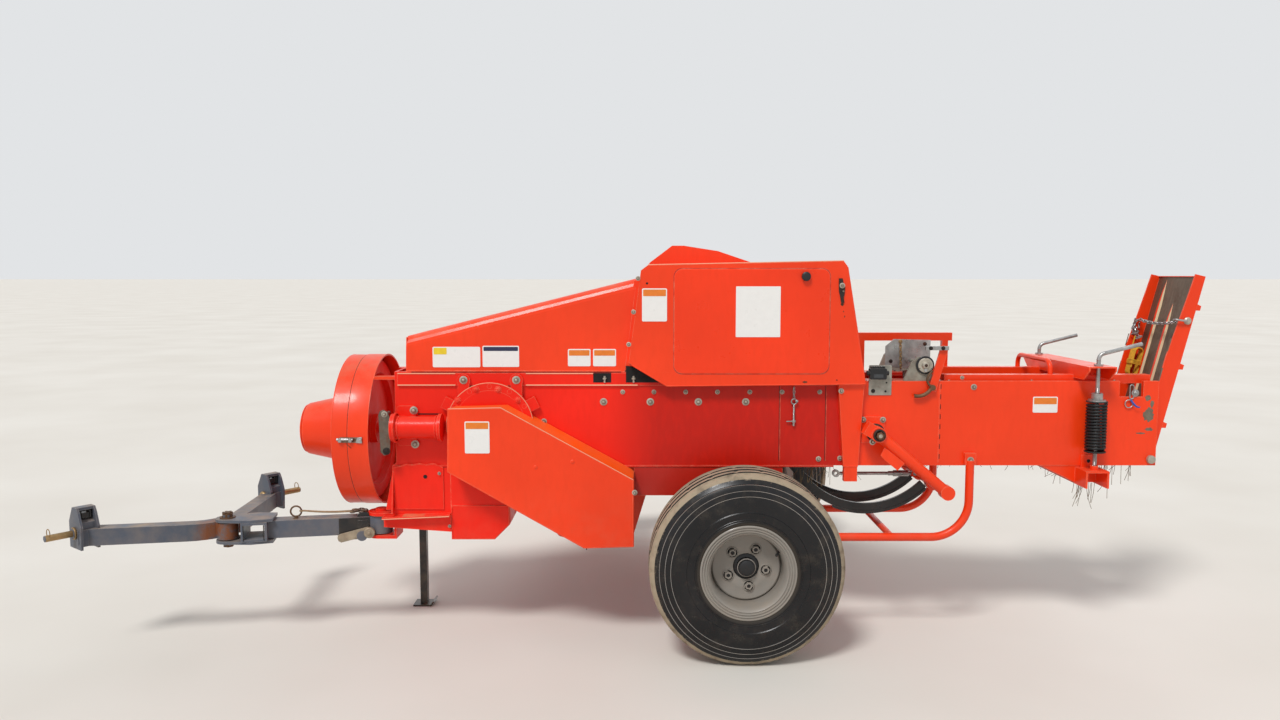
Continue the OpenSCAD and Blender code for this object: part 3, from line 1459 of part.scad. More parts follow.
bracket_t = 10;
bracket_up = 96;
module hitch_beam() {
    z = [tongue_z - hitch_h / 2, tongue_z + hitch_h / 2];
    lean = atan2(hitch_w / 2, hitch_reach);
    arm_w2 = 36;
    mid = corner([-hitch_reach, -hitch_w / 2], [0, 0], [-hitch_reach, hitch_w / 2], 190, 8);
    bow = concat([[-hitch_reach, -hitch_w / 2]], mid, [[-hitch_reach, hitch_w / 2]]);
    rear = [for (i = [0 : len(bow) - 1]) beside(bow, i, -arm_w2)];
    plate = [
        [-58, z[0] - 12], [58, z[0] - 12], [64, z[1] + 12], [40, z[1] + bracket_up - 24], [24, z[1] + bracket_up],
        [-20, z[1] + bracket_up], [-58, z[1] + 30],
    ];
    color(grey) translate([bolt_x, bolt_y, 0]) rotate([0, 0, hitch_turn]) {
        difference() {
            union() {
                plate_xy(sheet_line(rear, 2 * arm_w2), z);
                rod_z(0, 0, z, 45);
                block([mid[4][0], 0], [-40, 40], z);
            }
            rod_z(0, 0, [z[0] - 1, z[1] + 1], bolt_r + fit_gap);
        }
        // Brackets of the link pins: two cheeks and a strap over them
        for (s = [-1, 1]) translate([-hitch_reach, s * hitch_w / 2, 0]) {
            for (y = [-30 - bracket_t, 30])
                plate_xz(plate, [y, y + bracket_t]);
            block([-20, 24], [-30, 30], [z[1] + bracket_up - 12, z[1] + bracket_up]);
            block([-46, 46], [-30, 30], [z[0], z[1]]);
        }
    }
    color(silver) translate([bolt_x, bolt_y, 0]) rotate([0, 0, hitch_turn])
        for (s = [-1, 1]) {
            translate([-hitch_reach, s * (hitch_w / 2 + 30 + bracket_t), link_pin_z]) rotate([-90 * s, 0, 0])
                cylinder(r = 24, h = link_pin_y0 - hitch_w / 2 - 30 - bracket_t);
            translate([-hitch_reach, s * link_pin_y0, link_pin_z]) rotate([-90 * s, 0, 0])
                cylinder(r = link_pin_r, h = link_pin_l);
        }
}

stand_hinge_x = stand_x + 40;
stand_hinge_z = stand_z - 20;
stand_half = 18;
stand_pin_r = 8;
foot_t = 8;
module parking_stand() {
    color(black) difference() {
        union() {
            block(
                [stand_x - stand_half, stand_x + stand_half],
                [stand_y - stand_half, stand_y + stand_half],
                [foot_t, stand_z]
            );
            plate_xz(
                sheet_line([[stand_x - 50, 0], [stand_x + 40, 0], [stand_x + 58, 22]], foot_t),
                [stand_y - 45, stand_y + 45]
            );
            rod_y(stand_hinge_x, [stand_y - stand_half, stand_y + stand_half], stand_hinge_z, 24);
        }
        rod_y(stand_hinge_x, [stand_y - 60, stand_y + 60], stand_hinge_z, stand_pin_r + fit_gap);
    }
}

// Puts a piece made from the axle and the chamber's middle on the part's own origin
module placed() { translate([-mid_x, -mid_y, 0]) children(); }

placed() case_left();
placed() case_right();
placed() case_front();
placed() chamber_left();
placed() chamber_right();
placed() chamber_floor();
placed() chamber_top();
placed() plunger();
placed() sub_frame();
placed() front_frame();
placed() lower_housing();
placed() gearbox();
placed() gearbox_cover();
placed() side_drive();
placed() belt_guard();
placed() flywheel_guard();
placed() pto_cone();
placed() flywheel();
placed() input_shaft();
placed() front_hood();
placed() twine_box();
placed() twine_door();
placed() twine_lid();
placed() knotters();
placed() yoke_bearings();
placed() needle_yoke();
placed() needles();
placed() needle_rod();
placed() needle_guard();
placed() side_post();
placed() rear_bar();
placed() bale_counter();
placed() trip_arm();
placed() measure_wheel();
placed() measure_shaft();
placed() tension_rails();
placed() tension_springs();
placed() tension_cranks();
placed() tension_saddles();
placed() chute();
placed() axle();
placed() hub_left();
placed() rim_left();
placed() tyre_left();
placed() hub_right();
placed() rim_right();
placed() tyre_right();
placed() feed_table();
placed() feed_auger();
placed() pickup_frame();
placed() pickup_bearings();
placed() strippers();
placed() pickup_reel();
placed() gauge_wheel();
placed() tongue();
placed() hitch_beam();
placed() parking_stand();
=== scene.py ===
"""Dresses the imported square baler: camera, light, finishes and the small pieces that the solids leave out.

Places are given as in the part's source: millimetres from the left axle and the chamber's middle, X rearward,
Y to the machine's right, Z up. at() turns them into the row frame's metres.
"""
import json
import math
import random

import bmesh
import bpy
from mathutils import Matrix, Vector


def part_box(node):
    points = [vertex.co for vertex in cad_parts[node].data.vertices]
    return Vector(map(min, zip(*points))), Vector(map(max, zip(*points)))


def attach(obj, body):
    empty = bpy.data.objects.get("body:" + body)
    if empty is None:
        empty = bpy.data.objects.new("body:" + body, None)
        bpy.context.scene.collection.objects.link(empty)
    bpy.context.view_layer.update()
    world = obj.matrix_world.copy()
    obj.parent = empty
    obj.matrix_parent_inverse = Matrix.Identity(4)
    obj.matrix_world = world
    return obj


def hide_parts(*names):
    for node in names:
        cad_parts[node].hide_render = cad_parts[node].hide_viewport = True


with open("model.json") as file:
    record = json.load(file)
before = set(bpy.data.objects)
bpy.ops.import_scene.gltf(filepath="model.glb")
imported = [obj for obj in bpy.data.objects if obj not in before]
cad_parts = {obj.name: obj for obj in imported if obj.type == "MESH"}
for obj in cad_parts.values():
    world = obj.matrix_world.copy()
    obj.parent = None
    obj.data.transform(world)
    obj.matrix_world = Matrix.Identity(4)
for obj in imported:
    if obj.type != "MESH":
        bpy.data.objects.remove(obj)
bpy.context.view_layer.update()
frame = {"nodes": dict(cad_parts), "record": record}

CASE_X0 = -1578  # front end of the crank case
CASE_Y0 = 230  # inner face of its right side
MID_X = CASE_X0 - 1000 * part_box("case_left")[0].x
MID_Y = CASE_Y0 - 1000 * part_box("case_right")[0].y


def at(x, y, z):
    """A place of the source, in millimetres, as a point of the row frame in metres."""
    return Vector(((x - MID_X) / 1000, (y - MID_Y) / 1000, z / 1000))


def added(name, data):
    """A new object in the scene."""
    obj = bpy.data.objects.new(name, data)
    bpy.context.scene.collection.objects.link(obj)
    return obj


# Camera
PHOTO_W = 1280
FOCAL_PX = 949
HORIZON = 275  # row of the photograph
TILT = 5.1
EYE_X, EYE_Y, EYE_Z = -459, -4550, 1677

cam = added("camera", bpy.data.cameras.new("camera"))
cam.data.sensor_width = 36
cam.data.lens = 36 * FOCAL_PX / PHOTO_W
cam.location = at(EYE_X, EYE_Y, EYE_Z)
cam.rotation_euler = (math.radians(90 - TILT), 0, 0)
bpy.context.scene.camera = cam
bpy.context.scene.view_settings.view_transform = "Standard"


# Materials

def srgb(r, g, b):
    """A linear colour from 0-255 sRGB values."""
    shares = (c / 255 for c in (r, g, b))
    return tuple(c / 12.92 if c <= 10 / 255 else ((c + 0.055) / 1.055) ** 2.4 for c in shares) + (1.0,)


def scaled(colour, factor, lift=0.0):
    """The linear colour of 0-255 sRGB values, made darker or lighter."""
    return tuple(min(1.0, c * factor + lift) for c in srgb(*colour)[:3]) + (1.0,)


class Tree:
    """A node tree under construction: each call adds a node and returns an output of it."""

    def __init__(self, owner):
        owner.use_nodes = True
        self.tree = owner.node_tree
        self.tree.nodes.clear()

    def link(self, value, socket):
        """Joins an output to a socket, or sets the socket. A colour of three values is 0-255 sRGB."""
        if isinstance(value, bpy.types.NodeSocket):
            self.tree.links.new(value, socket)
        elif socket.type == "RGBA" and len(value) == 3:
            socket.default_value = srgb(*value)
        else:
            socket.default_value = value

    def node(self, kind, *values, out=0, **settings):
        """A node with its settings and the values of its first inputs."""
        n = self.tree.nodes.new("ShaderNode" + kind)
        for key, value in settings.items():
            setattr(n, key, value)
        for value, socket in zip(values, n.inputs):
            self.link(value, socket)
        return n.outputs[out]

    def math(self, op, a, b, clamp=False):
        return self.node("Math", a, b, operation=op, use_clamp=clamp)


class Finish(Tree):
    """A material under construction. The part's slot given here is kept with it, and groups of pieces that
    have it copy it.
    """

    slots = {}

    def __init__(self, name, slot):
        self.mat = bpy.data.materials.new(name)
        super().__init__(self.mat)
        Finish.slots[self.mat.name] = slot
        self.shader = self.tree.nodes.new("ShaderNodeBsdfPrincipled")
        self.link(self.shader.outputs[0], self.tree.nodes.new("ShaderNodeOutputMaterial").inputs[0])
        self.place = self.tree.nodes.new("ShaderNodeTexCoord")

    def times(self, a, b, clamp=False):
        return self.math("MULTIPLY", a, b, clamp)

    def plus(self, a, b, clamp=False):
        return self.math("ADD", a, b, clamp)

    def vector(self, op, a, b=(0, 0, 0)):
        number = op in ("DOT_PRODUCT", "LENGTH", "DISTANCE")
        return self.node("VectorMath", a, b, out=int(number), operation=op)

    def axis(self, kind, k):
        """X, Y or Z of the object's places or normals."""
        return self.node("SeparateXYZ", self.place.outputs[kind], out=k)

    def noise(self, scale, detail=3.0, rough=0.5, stretch=None):
        place = self.place.outputs["Object"]
        if stretch:
            place = self.vector("MULTIPLY", place, stretch)
        n = self.tree.nodes.new("ShaderNodeTexNoise")
        for key, value in (("Vector", place), ("Scale", scale), ("Detail", detail), ("Roughness", rough)):
            self.link(value, n.inputs[key])
        return n.outputs[0]

    def between(self, value, lo, hi, out_lo=0.0, out_hi=1.0):
        """Turns the values from lo to hi into those from out_lo to out_hi."""
        return self.node("MapRange", value, lo, hi, out_lo, out_hi)

    def patches(self, scale, detail, lo, hi, out_lo=0.0, out_hi=1.0, rough=0.5, stretch=None):
        """Noise whose levels from lo to hi give the values from out_lo to out_hi."""
        return self.between(self.noise(scale, detail, rough, stretch), lo, hi, out_lo, out_hi)

    def mix(self, factor, a, b):
        n = self.tree.nodes.new("ShaderNodeMix")
        n.data_type = "RGBA"
        for k, value in ((0, factor), (6, a), (7, b)):
            self.link(value, n.inputs[k])
        return n.outputs[2]

    def edges(self, radius):
        """1 on edges of the mesh, from the difference between a rounded normal and the true one."""
        soft = self.node("Bevel", radius, samples=4)
        true = self.node("NewGeometry", out="Normal")
        return self.between(self.vector("DOT_PRODUCT", soft, true), 0.98, 0.80)

    def bump(self, height, strength, distance=0.001):
        n = self.tree.nodes.new("ShaderNodeBump")
        for key, value in (("Strength", strength), ("Distance", distance), ("Height", height)):
            self.link(value, n.inputs[key])
        self.link(n.outputs[0], self.shader.inputs["Normal"])

    def finish(self, colour, rough, metal=0.0, coat=0.0, gloss=0.5):
        for key, value in (
            ("Base Color", colour), ("Roughness", rough), ("Metallic", metal), ("Coat Weight", coat),
            ("Coat Roughness", 0.12), ("Specular IOR Level", gloss),
        ):
            self.link(value, self.shader.inputs[key])
        return self.mat


def paint(name, colour, rough=0.36, coat=0.15, dust=0.3, chips=0.5, worn=(92, 60, 44), fade=0.08,
          edge=(236, 164, 130), gloss=0.3, rust_at=None, shade_band=None, slot="paint_orange"):
    """Sheet-metal enamel: faded in patches, dusty on top and low down, pale on its edges, chipped in spots.

    rust_at is a place and the reach of the rust about it. shade_band is two values of X and the colour that
    the paint turns to from the first to the second, painted shade on it. Both are in metres.
    """
    m = Finish(name, slot)
    dark = scaled(colour, 1 - 1.6 * fade)
    body = m.mix(m.patches(1.7, 4, 0.3, 0.7), dark, scaled(colour, 1 + fade, 0.03 * fade))
    # Painted shade: between two values of X the enamel turns to a darker colour
    if shade_band:
        body = m.mix(m.between(m.axis("Object", 0), shade_band[0], shade_band[1]), body, shade_band[2])
    body = m.mix(m.patches(38, 5, 0.45, 0.75, 0, 0.35, stretch=(1, 1, 0.35)), body, dark)
    specks = m.noise(9, 6, 0.65)
    top = m.times(m.between(m.axis("Normal", 2), 0.35, 0.95), m.between(specks, 0.35, 0.7))
    low = m.times(m.between(m.axis("Object", 2), 0.75, 0.05), m.between(specks, 0.4, 0.75))
    dusty = m.times(m.math("MAXIMUM", top, low), dust, clamp=True)
    body = m.mix(dusty, body, (176, 150, 120))
    rim = m.times(m.edges(0.005), m.patches(26, 5, 0.38, 0.60, 0.15, 0.8, rough=0.7))
    body = m.mix(m.times(rim, min(1.0, 1.6 * chips)), body, edge)
    bare = m.times(m.patches(70, 6, 0.72, 0.76, rough=0.75), chips, clamp=True)
    body = m.mix(bare, body, worn)
    if rust_at:
        place, reach = rust_at
        near = m.between(m.vector("DISTANCE", m.place.outputs["Object"], place), reach, reach * 0.55)
        near = m.times(near, m.patches(16, 6, 0.42, 0.58, rough=0.7), clamp=True)
        body = m.mix(near, body, (124, 72, 42))
    shine = m.plus(m.patches(14, 4, 0.3, 0.7, rough - 0.07, rough + 0.1), m.times(dusty, 0.3))
    shine = m.plus(shine, m.times(bare, 0.25), clamp=True)
    m.bump(m.plus(m.times(m.noise(320, 2), 0.25), m.noise(5, 2)), 0.16, 0.003)
    return m.finish(body, shine, coat=coat, gloss=gloss)


def metal(name, colour, rough=0.4, metallic=0.85, rust=0.3, rust_colour=(112, 62, 34), stretch=None,
          slot="steel_bare"):
    """Bare or plated steel with patches of rust and grime."""
    m = Finish(name, slot)
    body = m.mix(m.patches(24, 5, 0.35, 0.7, rough=0.6, stretch=stretch), scaled(colour, 0.62), colour)
    rusty = m.times(m.patches(13, 7, 0.50, 0.66, rough=0.7), rust, clamp=True)
    body = m.mix(rusty, body, rust_colour)
    shine = m.patches(60, 4, 0.3, 0.7, rough - 0.1, rough + 0.12, stretch=stretch)
    m.bump(m.noise(150, 5, 0.7, stretch), 0.25)
    bare = m.times(m.math("SUBTRACT", 1.0, rusty), metallic)
    return m.finish(body, m.plus(shine, m.times(rusty, 0.35), clamp=True), bare)


def rubber(name, colour, rough=0.45, dust=0.5, dust_colour=(150, 128, 104), low=0.0):
    """Tyre rubber with dust in patches."""
    m = Finish(name, "tyre_rubber")
    body = m.mix(m.patches(7, 5, 0.3, 0.7), colour, scaled(colour, 1.8, 0.004))
    dusty = m.times(m.patches(11, 7, 0.38 - low, 0.72 - low, rough=0.7), dust, clamp=True)
    body = m.mix(dusty, body, dust_colour)
    m.bump(m.noise(220, 4, 0.7), 0.3, 0.0012)
    shine = m.patches(40, 4, 0.3, 0.7, rough - 0.05, rough + 0.1)
    return m.finish(body, m.plus(shine, m.times(dusty, 0.35), clamp=True))


def side_rubber(name, middle):
    """Glossy side of a tyre round a wheel's middle; the tread's dust reaches raggedly over the shoulder."""
    m = Finish(name, "tyre_rubber")
    away = m.vector("MULTIPLY", m.vector("SUBTRACT", m.place.outputs["Object"], tuple(middle)), (1, 0, 1))
    away = m.vector("LENGTH", away)
    ragged = m.plus(away, m.times(m.noise(34, 6, 0.75), 0.07))
    dusty = m.math("MAXIMUM", m.between(ragged, 0.434, 0.450), m.patches(11, 7, 0.5, 0.9, 0, 0.12, rough=0.7))
    dusty = m.math("MAXIMUM", dusty, m.times(m.between(away, 0.225, 0.205), 0.12))
    body = m.mix(m.patches(7, 5, 0.3, 0.7), (17, 17, 19), (30, 29, 30))
    body = m.mix(dusty, body, (170, 150, 124))
    m.bump(m.noise(220, 4, 0.7), 0.2, 0.0008)
    return m.finish(body, m.plus(m.times(dusty, 0.5), 0.26, clamp=True), gloss=0.32)


def plain(name, colour, rough=0.5, speckle=0.08, slot="plastic_black"):
    """A plain plate, plastic or cord, slightly uneven in colour and gloss."""
    m = Finish(name, slot)
    body = m.mix(m.patches(45, 6, 0.35, 0.75, rough=0.65), colour, scaled(colour, 1 - 2.2 * speckle))
    m.bump(m.noise(260, 3), 0.12, 0.0008)
    return m.finish(body, m.patches(30, 3, 0.3, 0.7, rough - 0.06, rough + 0.08))


ORANGE = paint("orange_enamel", (244, 60, 8))
DOOR = paint("door_enamel", (246, 56, 4), rough=0.33, dust=0.15)
# Painted shade: the case enamel darkens from X -620 to -380 mm, where the twine box overhangs it
CASE_PAINTED_SHADE = at(-620, 0, 0).x, at(-380, 0, 0).x, (196, 28, 14)
CASE = paint("case_enamel", (240, 36, 14), coat=0.05, dust=0.2, gloss=0.2, shade_band=CASE_PAINTED_SHADE)
WHEEL_RED = paint("flywheel_enamel", (244, 46, 22), rough=0.5, coat=0.0, dust=0.2, gloss=0.2)
# Painted light: the belt guard's top flange gets a brighter orange, as if sunlit
FLANGE_SUNLIT_ORANGE = paint("flange_painted_sunlight", (254, 96, 16), rough=0.4, dust=0.15)
# Pale enamel for edges: painted highlights on most of them, dust on the tongue bracket's edge
PALE_HIGHLIGHT_AND_DUST = paint("pale_edge", (240, 168, 134), rough=0.6, coat=0.0, dust=0.5, chips=0.3)
RED = paint("red_enamel", (186, 30, 14))
DUSTY = paint("dusty_enamel", (236, 96, 52), rough=0.5, dust=0.8)
GREY_WEAR = {"rough": 0.42, "coat": 0.1, "worn": (120, 66, 38), "edge": (150, 146, 142), "slot": "paint_grey"}
DARK = paint("dark_grey_enamel", (88, 94, 106), dust=0.6, chips=0.9, **GREY_WEAR)
HITCH_RUST = tuple(at(-2362, -290, 500)), 0.14
HITCH = paint("hitch_enamel", (80, 86, 98), dust=0.7, chips=1.0, rust_at=HITCH_RUST, **GREY_WEAR)
BLACK = paint(
    "black_enamel", (24, 24, 27), rough=0.3, coat=0.3, dust=0.25, chips=0.4, worn=(110, 96, 84),
    edge=(96, 92, 88), slot="paint_black",
)
SPRING = paint(
    "spring_enamel", (20, 21, 24), rough=0.45, coat=0.0, dust=0.1, chips=0.3, worn=(70, 62, 56),
    edge=(70, 68, 66), slot="paint_black",
)
SILVER = paint(
    "silver_enamel", (142, 136, 128), coat=0.2, dust=0.25, chips=0.2, worn=(104, 84, 66), fade=0.06,
    edge=(182, 174, 162), slot="rim_silver",
)
CREAM = paint("worn_primer", (214, 196, 158), rough=0.55, coat=0.0, chips=0.9)
TREAD = rubber("tyre_tread", (60, 54, 48), rough=0.8, dust=0.95, low=0.22, dust_colour=(164, 148, 125))
SIDE = rubber("tyre_side", (20, 20, 22), rough=0.24, dust=0.1)
SMALL_TYRE = rubber("gauge_rubber", (26, 25, 25), rough=0.5, dust=0.45)
# Painted sheen: grey for the raised lines on the tyres' sides and the ring round the hub caps
RAISED_SHEEN = rubber("grey_lines_painted_sheen", (112, 108, 104), rough=0.5, dust=0.3)
GROOVE = rubber("tyre_groove", (16, 15, 14), rough=0.8, dust=0.15)
ZINC = metal("zinc_plate", (186, 186, 184), rough=0.34, rust=0.25, slot="steel_plated")
GREY_PLATE = metal("counter_steel", (168, 164, 152), rough=0.42, metallic=0.4, rust=0.2, slot="steel_plated")
STEEL = metal("bare_steel", (128, 116, 104), rough=0.42, rust=0.85)
CAST = metal("grey_casting", (158, 152, 138), rough=0.6, metallic=0.35, rust=0.35)
BOLT = metal("bolt_plating", (196, 188, 172), metallic=0.45, slot="steel_plated")
BOLT_HEAD = metal("bolt_head", (150, 138, 122), rough=0.45, metallic=0.5, rust=0.5)
BROWN = metal("brown_iron", (116, 88, 64), rough=0.5, metallic=0.5, rust=0.6)
IRON = metal("dark_iron", (58, 53, 50), rough=0.5, metallic=0.7, rust=0.6)
DARK_NUT = metal("dark_nuts", (34, 33, 34), metallic=0.4, rust=0.12, rust_colour=(60, 48, 40))
BRASS = metal("brass_pins", (182, 150, 104), rough=0.38, metallic=0.7, slot="steel_plated")
WORN = metal("worn_steel", (134, 122, 104), rough=0.55, metallic=0.4, rust=0.5)
FLOOR = metal(
    "chute_steel", (122, 104, 86), rough=0.46, metallic=0.5, rust=0.5, rust_colour=(74, 52, 40),
    stretch=(1, 9, 0.6),
)
TAN = metal("tan_lever", (176, 160, 136), rough=0.5, metallic=0.3, slot="steel_plated")
WHITE = plain("plate_white", (236, 234, 230), rough=0.32, speckle=0.02, slot="paint_orange")
NAVY = plain("plate_navy", (36, 42, 78), rough=0.35, slot="paint_orange")
AMBER = plain("plate_amber", (236, 128, 36), rough=0.35, slot="paint_orange")
YELLOW = plain("plate_yellow", (240, 206, 40), rough=0.35, slot="paint_orange")
RUST = plain("rust", (104, 58, 34), rough=0.85, speckle=0.25, slot="steel_bare")
HAY = plain("hay", (120, 96, 60), rough=0.9, speckle=0.25, slot="steel_bare")
PLASTIC = plain("black_plastic", (24, 24, 26), rough=0.4)
# Near-black for gaps and holes, and for painted shade in the wheels' nut seats and behind the drive tube's
# lugs
DARK_GAP_AND_SHADE = plain("dark_gap_and_shade", (16, 14, 13), rough=0.85)
GLASS = plain("counter_pane", (60, 62, 66), rough=0.12)
BLUE = plain("blue_tag", (72, 98, 186), speckle=0.12)
ROPE = plain("yellow_rope", (222, 170, 44), rough=0.85, speckle=0.2)
TAN_ROPE = plain("tan_rope", (164, 138, 106), rough=0.9, speckle=0.2)

SLOT_MATERIAL = {
    "paint_orange": ORANGE, "paint_red": RED, "paint_black": BLACK, "paint_grey": DARK, "rim_silver": SILVER,
    "tyre_rubber": SIDE, "steel_plated": ZINC, "steel_bare": STEEL, "cast": CAST, "plastic_black": PLASTIC,
}

# Nodes whose finish differs from the rest of their slot
NODE_MATERIAL = {
    "case_left": CASE, "case_right": CASE, "case_front": CASE, "gearbox_cover": CASE, "side_drive": CASE,
    "front_frame": CASE, "input_shaft": CASE, "lower_housing": CASE, "flywheel": WHEEL_RED,
    "measure_shaft": CAST, "hitch_beam": HITCH,
}

# Every CAD node that stays shows its own finish or its slot's
for row in frame["record"]["subparts"]:
    slots = frame["nodes"][row["node"]].data.materials
    slots.clear()
    slots.append(NODE_MATERIAL.get(row["node"], SLOT_MATERIAL[row["material_slot"]]))


# Shapes

rnd = random.Random(11)
FRONT = (0, -1, 0)  # towards the camera
BACK = (0, 1, 0)
UP = (0, 0, 1)
DOWN = (0, 0, -1)
REAR = (1, 0, 0)
WALL_Y = 250  # outer face of the side walls of the chamber and the case


def unmoved(x, y, z):
    return x, y, z


class Group:
    """Small pieces of one finish on one body, in one mesh. Places are in the source's millimetres."""

    made = []

    def __init__(self, name, mat, bevel=0.0, body="frame", slot=None, sharp=38, replaces=()):
        self.name, self.body = name, body
        self.mats = mat if isinstance(mat, tuple) else (mat,)
        self.slot = slot or Finish.slots[self.mats[0].name]
        self.bevel, self.sharp, self.replaces = bevel, sharp, replaces
        self.bm = bmesh.new()
        self.use = 0  # material of the next shapes
        Group.made.append(self)

    def rings(self, rings, closed=False, index=None):
        """Joins rings of equally many points; index gives the material of each strip between two columns."""
        rows = [[self.bm.verts.new(at(*p)) for p in ring] for ring in rings]
        pairs = list(zip(rows, rows[1:])) + ([(rows[-1], rows[0])] if closed else [])
        for a, b in pairs:
            for i in range(len(a)):
                j = (i + 1) % len(a)
                face = self.bm.faces.new((a[i], a[j], b[j], b[i]))
                face.material_index = index[i] if index else self.use
        if not closed:
            for end in (rows[0][::-1], rows[-1]):
                self.bm.faces.new(end).material_index = self.use

    def plate(self, outline, lo, hi, plane="xz", place=unmoved):
        """An outline in the plane xz or xy, between two values of the third direction."""
        if plane == "xz":
            self.rings([[place(a, c, b) for a, b in outline] for c in (lo, hi)])
        else:
            self.rings([[place(a, b, c) for a, b in outline] for c in (lo, hi)])

    def box(self, x, y, z, place=unmoved):
        self.plate([(x[0], y[0]), (x[1], y[0]), (x[1], y[1]), (x[0], y[1])], *z, "xy", place)

    def on_wall(self, x, z, thick, side=-1):
        """A flat box on a side wall, sunk 1 mm into it."""
        self.box(x, sorted((side * (WALL_Y - 1), side * (WALL_Y + thick))), z)

    def lathe(self, centre, axis, profile, sides=32, closed=False, turn=0.0):
        """Turns a profile of (radius, distance along the axis) round an axis."""
        w = Vector(axis).normalized()
        u = w.orthogonal().normalized() if abs(w.z) > 0.99 else Vector(UP).cross(w).normalized()
        v = w.cross(u)
        c = Vector(centre)
        rings = []
        for r, d in profile:
            ring = []
            for k in range(sides):
                a = math.radians(turn) + 2 * math.pi * k / sides
                ring.append(c + w * d + (u * math.cos(a) + v * math.sin(a)) * max(r, 0.01))
            rings.append(ring)
        self.rings(rings, closed)

    def torus(self, centre, axis, big, small, sides=24, corners=8, along=0.0):
        """A ring of round wire: radius of the ring and of the wire, and its place along the axis."""
        turns = [2 * math.pi * k / corners for k in range(corners)]
        profile = [(big + small * math.cos(t), along + small * math.sin(t)) for t in turns]
        self.lathe(centre, axis, profile, sides, closed=True)

    def disc(self, centre, axis, r, high=0.6, sides=20):
        self.lathe(centre, axis, [(r, 0), (r, high)], sides)

    def rod(self, a, b, r, r2=None, sides=16):
        a, b = Vector(a), Vector(b)
        self.lathe(a, b - a, [(r, 0), (r if r2 is None else r2, (b - a).length)], sides)

    def rail(self, points, r, sides, closed=False):
        """Rods from each point to the next."""
        for a, b in zip(points, points[1:] + (points[:1] if closed else [])):
            self.rod(a, b, r, sides=sides)

    def sweep(self, points, r, sides=8, closed=False, flat=1.0):
        """A round bar along points; flat squeezes it across its first sideways direction."""
        p = [Vector(q) for q in points]
        n = len(p)
        rings, up = [], None
        for i in range(n):
            back = p[i - 1] if (i or closed) else p[0]
            ahead = p[(i + 1) % n] if (i < n - 1 or closed) else p[-1]
            t = (ahead - back).normalized()
            if up is None:
                up = t.orthogonal().normalized()
            up = (up - t * up.dot(t)).normalized()
            side = t.cross(up)
            rings.append([
                p[i] + (up * math.cos(a) * flat + side * math.sin(a)) * r
                for a in (2 * math.pi * k / sides for k in range(sides))
            ])
        self.rings(rings, closed)

    def bolt(self, place, axis, r=9, h=7, washer=True, stub=True):
        """A hexagonal head on its washer, with the thread's end."""
        if washer:
            self.lathe(place, axis, [(r * 1.55, -1), (r * 1.55, 1.6), (r * 1.4, 2.2)], 18)
        self.use = len(self.mats) - 1
        head = [(r * 0.98, 0), (r, 2), (r, h + 0.5), (r * 0.86, h + 2)]
        self.lathe(place, axis, head, 6, turn=rnd.uniform(0, 60))
        self.use = 0
        if stub:
            self.lathe(place, axis, [(r * 0.5, h), (r * 0.5, h + 3.5), (r * 0.38, h + 4.5)], 10)

    def link(self, centre, along, across, length, width, wire):
        """One chain link: a long ring."""
        c, a, b = Vector(centre), Vector(along).normalized(), Vector(across).normalized()
        half, r = (length - width) / 2, (width - wire) / 2
        ring = []
        for side in (1, -1):
            for k in range(7):
                t = math.radians(-90 + 30 * k)
                ring.append(c + a * side * (half + r * math.cos(t)) + b * side * r * math.sin(t))
        self.sweep(ring, wire / 2, 6, closed=True)

    def chain(self, points, length, width, wire):
        """Links along a line of points, each turned a quarter from the one before."""
        p = [Vector(q) for q in points]
        total = sum((b - a).length for a, b in zip(p, p[1:]))
        count = max(2, round(total / (length - 2 * wire)))
        for k in range(count):
            s = (k + 0.5) / count * total
            for a, b in zip(p, p[1:]):
                d = (b - a).length
                if s <= d:
                    break
                s -= d
            t = (b - a).normalized()
            across = t.orthogonal().normalized()
            if k % 2:
                across = t.cross(across)
            self.link(a + t * s, t, across, length, width, wire)

    def finish(self):
        mesh = bpy.data.meshes.new(self.name)
        bmesh.ops.recalc_face_normals(self.bm, faces=self.bm.faces)
        self.bm.to_mesh(mesh)
        self.bm.free()
        mesh.shade_smooth()
        mesh.set_sharp_from_angle(angle=math.radians(self.sharp))
        for mat in self.mats:
            mesh.materials.append(mat)
        obj = added(self.name, mesh)
        if self.bevel:
            b = obj.modifiers.new("edges", "BEVEL")
            b.width = self.bevel / 1000
            b.segments = 2
            b.limit_method = "ANGLE"
            b.angle_limit = math.radians(40)
        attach(obj, self.body)
        if self.replaces:
            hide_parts(*self.replaces)
        return obj


def smooth(points, steps=6):
    """A smooth line through points."""
    p = [Vector(q) for q in points]
    p = [p[0] * 2 - p[1]] + p + [p[-1] * 2 - p[-2]]
    out = []
    for i in range(1, len(p) - 2):
        a, b, c, d = p[i - 1: i + 3]
        bend, twist = 2 * a - 5 * b + 4 * c - d, 3 * b - a - 3 * c + d
        for t in (k / steps for k in range(steps)):
            out.append(0.5 * (2 * b + (c - a) * t + bend * t * t + twist * t ** 3))
    return out + [p[-2]]


def around(r, degrees):
    """Both sides of the triangle under a point of a circle."""
    a = math.radians(degrees)
    return r * math.cos(a), r * math.sin(a)


def rounded(x, z, r, n=5):
    """Corners of a rounded rectangle, anticlockwise."""
    out = []
    x0, x1, z0, z1 = x[0] + r, x[1] - r, z[0] + r, z[1] - r
    for cx, cz, a0 in ((x1, z1, 0), (x0, z1, 90), (x0, z0, 180), (x1, z0, 270)):
        for k in range(n + 1):
            dx, dz = around(r, a0 + 90 * k / n)
            out.append((cx + dx, cz + dz))
    return out


